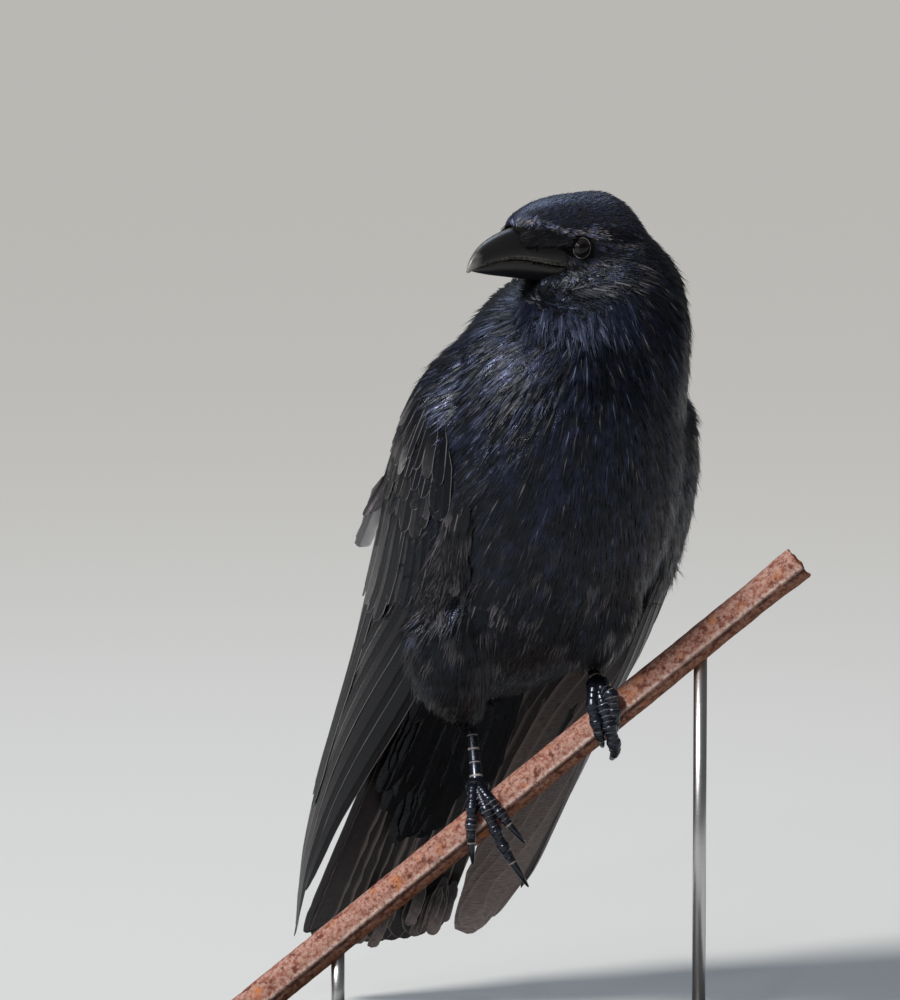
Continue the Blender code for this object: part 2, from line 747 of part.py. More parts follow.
for side, foot, thigh_table in (("right", RIGHT_FOOT, RIGHT_THIGH), ("left", LEFT_FOOT, LEFT_THIGH)):
    toes = cut(make_foot(foot, "foot_" + side), perch)
    tarsus = cut(make_tarsus(foot, "tarsus_" + side), toes)
    for toe in foot["toes"]:
        cut(make_claw(foot, toe, f"claw_{side}_{toe}"), toes, perch)
    cut(trunk, tarsus)
    cut(upright_loft(thigh_table, 5, "thigh_" + side), trunk, tarsus, toes)

tail = cut(make_tail(), trunk)
for side, sign in (("right", -1), ("left", 1)):
    thigh = bpy.data.objects["thigh_" + side]
    wing = cut(make_wing(sign, "wing_" + side), trunk, neck, head, thigh, tail)
    front = TRUNK @ Vector((0, 12 * MM, 0))
    slant = TRUNK.to_3x3() @ Vector((0, 1, 0.35))
    coverts, flight = part_at(wing, f"wing_{side}_coverts", f"wing_{side}_flight", front, slant)
    hinge = wing_point(sign, 110, 0.55)
    across = TRUNK.to_3x3() @ Vector((sign * 0.2, 0.28, 1.0))
    part_at(flight, f"wing_{side}_primaries", f"wing_{side}_secondaries", hinge, across)
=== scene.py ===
import math

import bmesh
import bpy
import numpy as np
from mathutils import Matrix, Vector, noise
from mathutils.bvhtree import BVHTree
from mathutils.kdtree import KDTree


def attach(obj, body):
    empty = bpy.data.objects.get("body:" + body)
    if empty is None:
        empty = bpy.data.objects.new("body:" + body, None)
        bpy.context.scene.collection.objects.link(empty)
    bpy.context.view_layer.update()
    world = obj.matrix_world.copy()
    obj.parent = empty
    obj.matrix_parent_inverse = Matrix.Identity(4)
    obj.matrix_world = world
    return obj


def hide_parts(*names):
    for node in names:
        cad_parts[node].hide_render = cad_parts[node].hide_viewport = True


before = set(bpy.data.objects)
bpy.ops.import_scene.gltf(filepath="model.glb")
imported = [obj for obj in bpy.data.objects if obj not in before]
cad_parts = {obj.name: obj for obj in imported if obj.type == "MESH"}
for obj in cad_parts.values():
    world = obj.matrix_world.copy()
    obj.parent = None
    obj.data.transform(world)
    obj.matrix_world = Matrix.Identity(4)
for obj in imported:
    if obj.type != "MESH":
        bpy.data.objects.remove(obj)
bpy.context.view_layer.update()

# ------------------------------------------------------------------ skin
# One skin under the feathers, in place of the head, neck, trunk and thighs. It lies inside them by
# the depth of the coat: about 2 mm on the body and less than one on the face. It is dull and black.
MM = 0.001
GRIP = Vector((0.015, 0.0, 0.135))  # on the tube's axis, midway between the feet
COAT_DEPTH, FACE_COAT_DEPTH, GAPE_DEPTH = 2.2 * MM, 0.8 * MM, 3.2 * MM
FACE_END, BODY_START = 30, 62  # how far from the middle of the head the coat deepens, in mm
GAPE_NARROWING = 0.29  # how much closer to the middle the skin lies under the horn of the bill
SKIN_VOXEL, SKIN_ROUNDS = 1.9 * MM, 7


def turn(centre, lean, yaw, pitch):
    """Frame whose x is the bird's left, -y its front and z its upper side."""
    lean, yaw, pitch = math.radians(lean), math.radians(yaw), math.radians(pitch)
    return (
        Matrix.Translation(centre)
        @ Matrix.Rotation(lean, 4, "Y")
        @ Matrix.Rotation(yaw, 4, "Z")
        @ Matrix.Rotation(-pitch, 4, "X")
    )


HEAD = turn(GRIP + Vector((0.0080, -0.012, 0.2362)), 0, -48, 2)


def in_frame(axes, points):
    """World points, as rows, in millimetres in a frame."""
    inverse = np.array(axes.inverted())
    return (points @ inverse[:3, :3].T + inverse[:3, 3]) / MM


def soft_step(low, high, value):
    """0 at low and 1 at high, with a soft start and end."""
    share = np.clip((value - low) / (high - low), 0, 1)
    return share * share * (3 - 2 * share)


def coordinates(mesh):
    """The points of a mesh, as rows."""
    points = np.empty(len(mesh.vertices) * 3, np.float32)
    mesh.vertices.foreach_get("co", points)
    return points.reshape(-1, 3).astype(float)


def new_piece(mesh, name, slot, *replaced):
    """Object at the origin that rides on the model's one body."""
    piece = bpy.data.objects.new(name, mesh)
    bpy.context.scene.collection.objects.link(piece)
    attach(piece, "root")
    if replaced:
        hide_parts(*replaced)
    return piece


def merged_copy(*nodes):
    """One mesh from copies of CAD nodes, with the points that meet joined."""
    bm = bmesh.new()
    for node in nodes:
        bm.from_mesh(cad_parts[node].data)
    bmesh.ops.remove_doubles(bm, verts=bm.verts, dist=1e-5)
    mesh = bpy.data.meshes.new(nodes[0] + "_copy")
    bm.to_mesh(mesh)
    bm.free()
    return mesh


def applied(mesh, kind, **settings):
    """The mesh that one modifier makes of this one."""
    helper = bpy.data.objects.new("helper", mesh)
    bpy.context.scene.collection.objects.link(helper)
    modifier = helper.modifiers.new(kind.lower(), kind)
    for key, value in settings.items():
        setattr(modifier, key, value)
    graph = bpy.context.evaluated_depsgraph_get()
    made = bpy.data.meshes.new_from_object(helper.evaluated_get(graph))
    bpy.data.objects.remove(helper)
    bpy.data.meshes.remove(mesh)
    return made


def shell_of(nodes, voxel, rounds):
    """One closed, smoothed shell round these nodes, drawn in by the depth of the coat."""
    mesh = applied(merged_copy(*nodes), "REMESH", mode="VOXEL", voxel_size=voxel)
    mesh = applied(mesh, "SMOOTH", factor=0.5, iterations=rounds)
    points = coordinates(mesh)
    normals = np.empty(len(points) * 3, np.float32)
    mesh.vertices.foreach_get("normal", normals)
    from_head = np.linalg.norm(in_frame(HEAD, points), axis=1)
    depth = FACE_COAT_DEPTH + (COAT_DEPTH - FACE_COAT_DEPTH) * soft_step(FACE_END, BODY_START, from_head)
    # the horn of the bill runs back over the sides of the face, so the skin is sunk for it
    x, y, z = in_frame(HEAD, points).T
    beside_gape = soft_step(-12, -9.5, z) * soft_step(1, -1.5, z)
    depth += GAPE_DEPTH * soft_step(8, 12, -y) * beside_gape
    points -= normals.reshape(-1, 3) * depth[:, None]
    narrowed = GAPE_NARROWING * x * MM * soft_step(13, 18, -y) * beside_gape
    points -= narrowed[:, None] * np.array(HEAD.col[0][:3])
    mesh.vertices.foreach_set("co", points.ravel().astype(np.float32))
    mesh.update()
    mesh.shade_smooth()
    return mesh


FLESH = ("head", "neck", "trunk", "thigh_left", "thigh_right")
ARMS = ("wing_left_coverts", "wing_right_coverts")
EYES = ("eye_left", "eye_right")  # they fill their sockets
UNROLL_X, UNROLL_Y, UNROLL_HIGH = 0.022, 0.012, 0.42
MAP_ROUND, MAP_LOW, MAP_TALL = 0.47, 0.02, 0.95  # how much of the map's square the skin fills


def unrolled(points):
    """Place of points on the skin's own shape unrolled round its upright axis, 0 to 1 each way."""
    angle = np.arctan2(points[:, 0] - UNROLL_X, UNROLL_Y - points[:, 1])
    up = points[:, 2] / UNROLL_HIGH
    return np.stack([0.5 + MAP_ROUND * angle / math.pi, MAP_LOW + MAP_TALL * up], 1)


skin = new_piece(shell_of(FLESH + ARMS + EYES, SKIN_VOXEL, SKIN_ROUNDS), "skin", "plumage", *FLESH)
corner_points = np.empty(len(skin.data.loops), np.int32)
skin.data.loops.foreach_get("vertex_index", corner_points)
skin_map = skin.data.uv_layers.new(name="OFBake")
skin_places = unrolled(coordinates(skin.data))[corner_points]
skin_map.data.foreach_set("uv", skin_places.ravel().astype(np.float32))


def add_node(tree, kind, inputs, **settings):
    """New shader node. Each input, by name or number, takes a value or another node's output."""
    node = tree.nodes.new("ShaderNode" + kind)
    for key, value in settings.items():
        setattr(node, key, value)
    for key, value in inputs.items():
        if isinstance(value, bpy.types.NodeSocket):
            tree.links.new(value, node.inputs[key])
        else:
            node.inputs[key].default_value = value
    return node


def object_place(tree):
    """The piece's own coordinates."""
    return add_node(tree, "TexCoord", {}).outputs["Object"]


def grain(tree, place, scale, detail=2.0, roughness=0.5):
    """Soft random value over a place."""
    settings = {"Vector": place, "Scale": scale, "Detail": detail, "Roughness": roughness}
    return add_node(tree, "TexNoise", settings).outputs["Fac"]


def colour_ramp(tree, value, first, last, *between):
    """Colour that follows a value through stops, each its place from 0 to 1 and its colour."""
    node = add_node(tree, "ValToRGB", {"Fac": value})
    stops = node.color_ramp.elements
    for stop, (place, colour) in zip(stops, (first, last)):
        stop.position, stop.color = place, (*colour, 1)
    for place, colour in between:
        stops.new(place).color = (*colour, 1)
    return node.outputs["Color"]


def new_finish(name, constants):
    """New material and its node tree, with constants set on its shader's own sockets."""
    material = bpy.data.materials.new(name)
    material.use_nodes = True
    sockets = material.node_tree.nodes["Principled BSDF"].inputs
    for socket, value in constants.items():
        sockets[socket].default_value = value
    return material, material.node_tree


def feed_shader(tree, **outputs):
    """Links outputs to the shader's sockets, named with _ for a space."""
    for socket, output in outputs.items():
        tree.links.new(output, tree.nodes["Principled BSDF"].inputs[socket.replace("_", " ")])


DOWN_DARK, DOWN_LIGHT = (0.001, 0.001, 0.001), (0.003, 0.003, 0.003)
skin_black, tree = new_finish("skin_black", {"Roughness": 0.8, "Specular IOR Level": 0.12})
down = grain(tree, object_place(tree), 700)
feed_shader(tree, Base_Color=colour_ramp(tree, down, (0, DOWN_DARK), (1, DOWN_LIGHT)))
skin.data.materials.append(skin_black)

# ------------------------------------------------------------------ coat
# Contour feathers over the whole skin: thin curved vanes whose ends split into loose barbs. They
# lie like roof tiles along the coat, from hairlike ones on the face to broad ones on the belly.
rng = np.random.default_rng(20)
TRUNK = turn(GRIP + Vector((-0.009, 0.008, 0.111)), 4, 22, 57)
WORLD = Matrix.Translation(GRIP)


def unit(rows):
    """Each row as a vector of length one."""
    return rows / np.maximum(np.linalg.norm(rows, axis=-1, keepdims=True), 1e-9)


def vane_template(rows, columns, loose):
    """Faces of one vane: a grid of rows along and columns across, and a loose barb beyond each column
    if loose."""
    bm = bmesh.new()
    bmesh.ops.create_grid(bm, x_segments=columns, y_segments=rows, size=1)
    order = sorted(bm.verts, key=lambda v: (round(v.co.y, 4), v.co.x))
    end = order[-(columns + 1):]
    for left, right in zip(end, end[1:]) if loose else ():
        tip = bm.verts.new(((left.co.x + right.co.x) / 2, 2, 0))
        bm.faces.new((left, right, tip))
        order.append(tip)
    place = {vert: k for k, vert in enumerate(order)}
    faces = [[place[v] for v in face.verts] for face in bm.faces]
    # each face is listed so that it points along +z, out of the body
    for face in faces:
        a, b, c = (order[k].co for k in face[:3])
        if (b - a).cross(c - a).z < 0:
            face.reverse()
    bm.free()
    return faces


# how many rows along and columns across a vane has
TINY_VANE = (3, 2)
SMALL_VANE = (4, 4)
BROAD_VANE = (5, 6)


class Ground:
    """Surface that feathers lie on, asked for its nearest point and its normal."""

    def __init__(self, mesh):
        self.tree = BVHTree.FromPolygons(
            [v.co for v in mesh.vertices], [tuple(p.vertices) for p in mesh.polygons]
        )

    def away(self, point):
        """How far a point is from the surface."""
        return self.tree.find_nearest(point)[3]

    def settle(self, points):
        """Nearest points of the surface, and its normals there."""
        places, normals = np.empty_like(points), np.empty_like(points)
        for k, point in enumerate(points):
            spot, normal, _, _ = self.tree.find_nearest(point)
            places[k], normals[k] = spot, normal
        return places, normals


ROOT_WIDTH = 0.22  # share of its greatest width that a vane has at its root
UNEVEN_WIDTH, STRAY_BARB = 0.12, 0.08
FLOW_BEND = 0.5  # how far a vane turns with the lie of the coat at each row


def vanes_on(ground, roots, headings, length, half_width, low, high, camber, barb, shape, size, flow=None):
    """Corner points of many vanes, with their places in millimetres and their shares along and across.

    low and high are the heights of root and tip over the ground. barb is how much of the length the
    loose ends are. shape is below 1 where a vane is widest near its root.
    """
    rows, columns = size
    count = len(roots)
    shares = np.arange(rows + 1) / rows
    reach = 1 - barb
    centre, normal = ground.settle(roots)
    heading = unit(headings - normal * (headings * normal).sum(1, keepdims=True))
    across = np.linspace(-1, 1, columns + 1)
    points = np.empty((count, (rows + 1) * (columns + 1) + columns, 3))
    place, share = np.empty((2, count, points.shape[1], 2))
    for r, u in enumerate(shares):
        if r:
            moved = centre + heading * (length * reach / rows)[:, None]
            centre, normal = ground.settle(moved)
            if flow is not None:
                heading = unit(heading + FLOW_BEND * flow(centre))
            heading = unit(heading - normal * (heading * normal).sum(1, keepdims=True))
        side = np.cross(heading, normal)
        rounded = np.sin(math.pi * np.clip(u * reach, 0, 1) ** shape[:, None]) ** 0.6
        width = half_width[:, None] * (ROOT_WIDTH + (1 - ROOT_WIDTH) * rounded)
        width = width * (1 + UNEVEN_WIDTH * rng.standard_normal((count, 1)))
        left, left_normal = ground.settle(centre - side * width)
        right, right_normal = ground.settle(centre + side * width)
        for c, v in enumerate(across):
            k = r * (columns + 1) + c
            share_left, share_mid, share_right = v * (v - 1) / 2, 1 - v * v, v * (v + 1) / 2
            spot = left * share_left + centre * share_mid + right * share_right
            out = unit(left_normal * share_left + normal * share_mid + right_normal * share_right)
            height = low + (high - low) * u * reach - camber * half_width * v * v
            points[:, k] = spot + out * height[:, None]
            place[:, k, 0] = v * width[:, 0] / MM
            place[:, k, 1] = u * reach * length / MM
            share[:, k] = v, u * reach
    last = rows * (columns + 1)
    for c in range(columns):
        v = (across[c] + across[c + 1]) / 2
        base = (points[:, last + c] + points[:, last + c + 1]) / 2
        before = (points[:, last - columns - 1 + c] + points[:, last - columns + c]) / 2
        along = unit(base - before)
        middle = points[:, last + columns // 2] - points[:, last + columns // 2 - columns - 1]
        along = unit(along + 0.5 * unit(middle))
        long = barb * length * (1.15 - 0.45 * abs(v) ** 1.5) * rng.uniform(0.55, 1.3, count)
        stray = rng.standard_normal((count, 3)) * (STRAY_BARB * long)[:, None]
        k = last + columns + 1 + c
        points[:, k] = base + along * long[:, None] + stray
        place[:, k, 0] = v * half_width / MM * 0.8
        place[:, k, 1] = (reach * length + long) / MM
        share[:, k] = v, 1
    return points, place, share


TUFT_PATCH = 0.003


def tuft_patches(roots, share):
    """A small patch of the unrolled skin for each vane, at the place of its root."""
    return unrolled(roots)[:, None, :] + share * TUFT_PATCH / 2


def vane_mesh(name, faces, points, place, share, patches, tint):
    """Joined mesh of vanes, with their barb map, their tint and the map the finish is baked on."""
    count, each = points.shape[:2]
    mesh = bpy.data.meshes.new(name)
    corners = np.concatenate([np.array(face) for face in faces])
    sizes = np.array([len(face) for face in faces])
    starts = np.concatenate([[0], np.cumsum(sizes)[:-1]])
    mesh.vertices.add(count * each)
    mesh.vertices.foreach_set("co", points.reshape(-1).astype(np.float32))
    all_corners = (corners[None, :] + (np.arange(count) * each)[:, None]).ravel()
    all_starts = (starts[None, :] + (np.arange(count) * len(corners))[:, None]).ravel()
    mesh.loops.add(len(all_corners))
    mesh.loops.foreach_set("vertex_index", all_corners.astype(np.int32))
    mesh.polygons.add(len(all_starts))
    mesh.polygons.foreach_set("loop_start", all_starts.astype(np.int32))
    mesh.update(calc_edges=True)
    mesh.shade_smooth()
    for name, places in (("vane", place), ("share", share), ("OFBake", patches)):
        layer = mesh.uv_layers.new(name=name)
        layer.data.foreach_set("uv", places.reshape(-1, 2)[all_corners].ravel().astype(np.float32))
    layer = mesh.color_attributes.new("tint", "FLOAT_COLOR", "POINT")
    colours = np.ones((count, each, 4), np.float32)
    colours[:, :, :3] = tint[:, None, :]
    layer.data.foreach_set("color", colours.ravel())
    return mesh


def strewn(mesh, spacing_of, tries):
    """Points strewn at random over a surface, no nearer to one another than spacing_of asks."""
    mesh.calc_loop_triangles()
    corners = np.empty(len(mesh.loop_triangles) * 3, np.int32)
    mesh.loop_triangles.foreach_get("vertices", corners)
    a, b, c = (coordinates(mesh)[corners.reshape(-1, 3)[:, k]] for k in range(3))
    spacing = spacing_of((a + b + c) / 3)
    weight = np.linalg.norm(np.cross(b - a, c - a), axis=1) / spacing**2
    picked = rng.choice(len(a), tries, p=weight / weight.sum())
    s, t = rng.random((2, tries, 1))
    s, t = np.where(s + t > 1, 1 - s, s), np.where(s + t > 1, 1 - t, t)
    points = a[picked] + s * (b - a)[picked] + t * (c - a)[picked]
    tree = KDTree(tries)
    for k, point in enumerate(points):
        tree.insert(point, k)
    tree.balance()
    alive = np.ones(tries, bool)
    chosen = []
    for k in range(tries):
        if alive[k]:
            chosen.append(k)
            for _, other, _ in tree.find_range(points[k], spacing[picked[k]]):
                alive[other] = False
    return points[chosen]


def both_sides(rows):
    """The rows, and the mirrored ones of those that stand off the middle."""
    return rows + [
        (axes, (-x, y, z), (-hx, hy, hz), *rest)
        for axes, (x, y, z), (hx, hy, hz), *rest in rows
        if x
    ]


# The lie of the coat. Each row: axes, place in mm, heading, reach in mm, then the vane there: length,
# half-width, spacing and lift in mm, and blue gloss (0 to 1).
LIE = both_sides(
    [
        (HEAD, (0, -34, 11), (0, 1, 0.5), 7, 4.0, 0.6, 1.15, 0.6, 0.5),
        (HEAD, (0, -20, 19), (0, 1, 0.25), 9, 5.0, 0.7, 1.3, 0.7, 1.0),
        (HEAD, (0, -4, 23), (0, 1, 0.02), 9, 6.5, 0.8, 1.5, 0.8, 1.0),
        (HEAD, (0, 16, 23), (0, 1, -0.3), 10, 9.0, 1.0, 1.8, 1.0, 0.6),
        (HEAD, (0, 36, 12), (0, 0.6, -0.8), 11, 13.0, 1.3, 2.2, 1.4, 0.3),
        (HEAD, (0, 46, -14), (0, 0.2, -1), 13, 17.0, 1.6, 2.6, 2.0, 0.2),
        (HEAD, (13, -14, 11), (0, 1, 0.1), 6, 3.6, 0.55, 1.1, 0.5, 0.4),
        (HEAD, (16, 6, 11), (0, 1, 0.0), 7, 5.0, 0.7, 1.3, 0.6, 0.4),
        (HEAD, (11, -24, 1), (0, 1, 0.0), 6, 3.0, 0.5, 1.0, 0.4, 0.0),
        (HEAD, (15, -12, -7), (0, 1, -0.2), 6, 3.4, 0.5, 1.1, 0.4, 0.0),
        (HEAD, (19, 9, -4), (0, 1, -0.15), 7, 6.0, 0.7, 1.35, 0.6, 0.2),
        (HEAD, (20, 22, -3), (0, 1, -0.4), 9, 9.0, 0.9, 1.7, 0.9, 0.2),
        (HEAD, (19, 12, -17), (0, 0.85, -0.5), 9, 7.0, 0.8, 1.5, 0.8, 0.4),
        (HEAD, (12, -10, -17), (0, 0.8, -0.55), 8, 3.6, 0.5, 1.05, 0.5, 0.2),
        (HEAD, (0, -14, -18), (0, 0.8, -0.6), 9, 4.4, 0.55, 1.15, 0.7, 0.2),
        (HEAD, (0, 0, -28), (0, 0.3, -1), 11, 10.0, 1.0, 2.0, 1.4, 0.8),
        (HEAD, (22, 16, -32), (0.2, 0.3, -1), 12, 13.0, 1.2, 2.2, 1.5, 0.6),
        (HEAD, (18, 38, -26), (0.1, 0.2, -1), 12, 16.0, 1.5, 2.5, 1.8, 0.3),
        (TRUNK, (0, -100, -28), (0, 1, 0.0), 18, 16.0, 1.7, 2.9, 1.8, 1.0),
        (TRUNK, (34, -92, -10), (0.3, 1, -0.1), 18, 17.0, 1.9, 3.0, 1.8, 0.9),
        (TRUNK, (0, -74, -44), (0, 1, -0.2), 20, 19.0, 2.2, 3.3, 1.9, 0.9),
        (TRUNK, (36, -64, -30), (0.2, 1, 0.0), 18, 20.0, 2.4, 3.4, 1.9, 0.8),
        (TRUNK, (0, -40, -52), (0, 1, 0.0), 24, 21.0, 2.7, 3.6, 2.0, 0.5),
        (TRUNK, (40, -24, -38), (0.1, 1, 0.1), 24, 22.0, 2.9, 3.8, 2.0, 0.4),
        (TRUNK, (0, 0, -55), (0, 1, 0.0), 26, 23.0, 3.3, 4.0, 2.1, 0.2),
        (TRUNK, (42, 22, -34), (0, 1, 0.15), 28, 24.0, 3.4, 4.1, 2.1, 0.2),
        (TRUNK, (0, 44, -48), (0, 1, 0.1), 26, 25.0, 3.6, 4.1, 2.2, 0.1),
        (TRUNK, (0, 88, -24), (0, 1, 0.3), 24, 26.0, 3.8, 4.3, 2.2, 0.0),
        (TRUNK, (34, 76, 0), (0, 1, 0.1), 24, 25.0, 3.6, 4.2, 2.2, 0.1),
        (TRUNK, (0, -92, 36), (0, 1, 0.4), 22, 18.0, 2.4, 3.4, 1.8, 0.9),
        (TRUNK, (0, -40, 52), (0, 1, 0.1), 34, 22.0, 3.6, 4.3, 2.0, 0.6),
        (TRUNK, (0, 40, 48), (0, 1, -0.1), 40, 24.0, 4.0, 4.7, 2.1, 0.4),
        (TRUNK, (0, 98, 18), (0, 1, -0.3), 24, 24.0, 4.0, 4.6, 2.1, 0.3),
        (TRUNK, (56, -40, 10), (0.1, 1, 0.2), 26, 21.0, 3.0, 3.9, 1.9, 1.0),
    ]
) + [
    # the side of the breast lies out over the bend of the right wing, and the thighs are short-feathered
    (TRUNK, (-54, -46, -22), (-0.8, 0.9, 0.3), 10, 19.0, 1.6, 2.6, 2.2, 1.0),
    (TRUNK, (-54, -18, -26), (-0.7, 1.0, 0.3), 11, 19.0, 1.8, 2.8, 2.2, 0.5),
    (WORLD, (-38, -12, 76), (0.0, 0.25, -1), 17, 17.0, 1.9, 3.0, 2.0, 0.0),
    (WORLD, (-40, -6, 44), (0.0, 0.35, -1), 15, 14.0, 1.5, 2.5, 2.0, 0.0),
    (WORLD, (-37, 8, 24), (0.0, 0.4, -1), 9, 10.0, 1.1, 2.0, 1.6, 0.0),
    (WORLD, (26, -8, 84), (0.0, 0.2, -1), 14, 16.0, 1.9, 3.0, 2.0, 0.0),
    (WORLD, (21, 4, 54), (0.0, 0.4, -1), 11, 12.0, 1.3, 2.3, 1.8, 0.0),
]
LIE_PLACES = np.array([axes @ (Vector(place) * MM) for axes, place, *_ in LIE])
LIE_HEADINGS = unit(np.array([axes.to_3x3() @ Vector(heading) for axes, _, heading, *_ in LIE]))
LIE_REACH = np.array([row[3] for row in LIE]) * MM
LIE_VALUES = np.array([row[4:] for row in LIE])
NEAREST_FIRST = 0.6  # how strongly the nearest row wins


def lie_weights(points):
    """How much each row of the lie counts at each point."""
    away = np.linalg.norm(points[:, None, :] - LIE_PLACES[None], axis=2) / LIE_REACH
    away = away - away.min(1, keepdims=True) * NEAREST_FIRST
    weights = np.exp(-0.5 * away**2)
    return weights / weights.sum(1, keepdims=True)


def coat_flow(points):
    """The way the feathers point."""
    return unit(lie_weights(points) @ LIE_HEADINGS)


def fine_face(points):
    """1 on the head, where the feathers are smallest, falling to 0 on the neck."""
    return soft_step(46, 30, np.linalg.norm(in_frame(HEAD, points), axis=1))


BODY_CLOSENESS, FACE_CLOSER = 0.56, 0.17


def coat_spacing(points):
    closeness = BODY_CLOSENESS - FACE_CLOSER * fine_face(points)
    return lie_weights(points) @ LIE_VALUES[:, 2] * MM * closeness


def patchy(points):
    """Soft random field, about -1 to 1, in patches of some 7 mm."""
    return np.array([noise.noise(Vector(p) * 150 + Vector((3, 0, 0))) for p in points]) * 1.6


EYE_OUT, EYE_AHEAD, EYE_RISE = 13.5, 4.0, -0.2
EYE_OPENING = 5.2
MOUTH_AHEAD, MOUTH_RISE = (8, 16, 24, 33), (-8.4, -7.7, -6.2, -4.9)


def mouth_rise(ahead):
    """Height of the line of the mouth."""
    return np.interp(ahead, MOUTH_AHEAD, MOUTH_RISE)


def on_eye(points):
    """True where the eye and its lids show."""
    x, y, z = in_frame(HEAD, points).T
    return (np.hypot(-y - EYE_AHEAD, z - EYE_RISE) < EYE_OPENING) & (np.abs(x) > 9)


def bare(points):
    """True under the root of the bill and on the bare horn that runs back from it to the gape."""
    x, y, z = in_frame(HEAD, points).T
    ahead, mouth = -y, mouth_rise(-y)
    root = (ahead > 30) & (np.abs(x) < 9) & (np.abs(z) < 9)
    horn_top = np.minimum(-1.6, mouth + (ahead - 9.5) * 0.75)
    return root | ((ahead > 10) & (np.abs(x) < 17) & (z > mouth - 2.4) & (z < horn_top))


# Outline of a folded wing in mm: place along it, half its breadth across the bird, its middle's
# height, its rise above and fall below that, and its leading and hind edges in degrees.
WING_STATIONS = (
    (-84, 48, 16, 34, 28, -6, 52),
    (-74, 60, 11, 44, 34, -18, 64),
    (-45, 69.5, 4, 56, 42, -34, 74),
    (-10, 72, 0, 60, 46, -42, 81),
    (25, 70, -2, 57, 48, -45, 85),
    (60, 67.5, -4, 50, 46, -43, 86),
    (95, 64, -6, 45, 40, -38, 82),
    (130, 61.5, -9, 44, 36, -30, 72),
    (165, 59.5, -12, 44, 30, -22, 56),
    (200, 57, -15, 40, 24, -14, 38),
    (230, 51.5, -15, 36, 16, -4, 20),
    (252, 47, -13, 30, 10, 2, 9),
)
SWAY, SWAY_AT, SWAY_REACH = 6.4, 36.0, 85.0  # the trunk and the wings bow to the bird's left
WING_TABLE = np.array(WING_STATIONS, float)


def smooth_table(table, places):
    """Catmull-Rom values of a table, whose first column is the place."""
    starts = table[:, 0]
    last = len(table) - 1
    k = np.clip(np.searchsorted(starts, places, side="right") - 1, 0, last - 1)
    s = np.clip((places - starts[k]) / (starts[k + 1] - starts[k]), -0.4, 1.3)[..., None]
    p0, p1 = table[np.maximum(k - 1, 0)], table[k]
    p2, p3 = table[k + 1], table[np.minimum(k + 2, last)]
    square, cube = 2 * p0 - 5 * p1 + 4 * p2 - p3, 3 * p1 - p0 - 3 * p2 + p3
    return 0.5 * (2 * p1 + (p2 - p0) * s + square * s**2 + cube * s**3)


LEFT_COVERED, RIGHT_COVERED = 0.34, 0.09  # how much of each wing the flank's feathers lie over


def on_wing(points):
    """True where the outer face of a folded wing shows, inside its leading and hind edges."""
    x, y, z = in_frame(TRUNK, points).T
    _, across, level, rise, fall, lead, hind = np.moveaxis(smooth_table(WING_TABLE, y), -1, 0)
    x = x - SWAY * np.exp(-(((y - SWAY_AT) / SWAY_REACH) ** 2))
    covered = np.where(x > 0, LEFT_COVERED, RIGHT_COVERED)
    x, up = np.abs(x), z - level
    angle = np.degrees(np.arctan2(up / np.where(up > 0, rise, fall), x / across))
    c = (angle - lead) / (hind - lead)
    level_with = np.hypot(x / across, up / np.where(up > 0, rise, fall)) > 0.93
    return (c > covered) & (c < 0.96) & (y > -24) & level_with


ROOT_TRIES = 160000
SIZE_SPREAD, LIFT_SPREAD, HEADING_SPREAD = (0.85, 1.15), 0.16, 0.10
FACE_SHORTER, FACE_SLIMMER = 0.28, 0.2
ARM_MARGIN, ARM_LIFT = 0.4 * MM, 0.7 * MM
STRAY_SPREAD, STRAY_LIMIT = 0.40, 1.1  # a few vanes stand up to a millimetre off the rest
coat_ground, flesh, arms = Ground(skin.data), Ground(merged_copy(*FLESH)), Ground(merged_copy(*ARMS))
roots = strewn(skin.data, coat_spacing, ROOT_TRIES)
# nothing grows where a vane would reach over the eye
lies_on_eye = on_eye(roots)
likely = lie_weights(roots) @ LIE_VALUES[:, 0] * MM * (1 - FACE_SHORTER * fine_face(roots))
for part in (0.3, 0.55, 0.8, 1.05):
    lies_on_eye |= on_eye(roots + coat_flow(roots) * (likely * part)[:, None])
roots = roots[~(bare(roots) | lies_on_eye)]
over_arm = np.array([arms.away(p) < flesh.away(p) - ARM_MARGIN for p in roots])
# the lower edge of the left wing stands clear of the coat
x, y, z = in_frame(TRUNK, roots).T
wing_clear = over_arm & (x > 30) & (y > 22) | (x > 57) & (y > 1) & (z < -4)
kept = ~(over_arm & on_wing(roots) | wing_clear)
roots, over_arm = roots[kept], over_arm[kept]

values = lie_weights(roots) @ LIE_VALUES
lengths = values[:, 0] * MM * rng.uniform(*SIZE_SPREAD, len(roots))
half_widths = values[:, 1] * MM * rng.uniform(*SIZE_SPREAD, len(roots))
lifts = values[:, 3] * MM * (1 + LIFT_SPREAD * rng.standard_normal(len(roots)))
lifts += ARM_LIFT * over_arm
lengths *= 1 - FACE_SHORTER * fine_face(roots)
half_widths *= 1 - FACE_SLIMMER * fine_face(roots)
strays = np.minimum(rng.exponential(STRAY_SPREAD, len(roots)) ** 2, STRAY_LIMIT) * MM
lifts += strays * (1 - fine_face(roots)) * ~over_arm
headings = coat_flow(roots) + HEADING_SPREAD * rng.standard_normal((len(roots), 3))

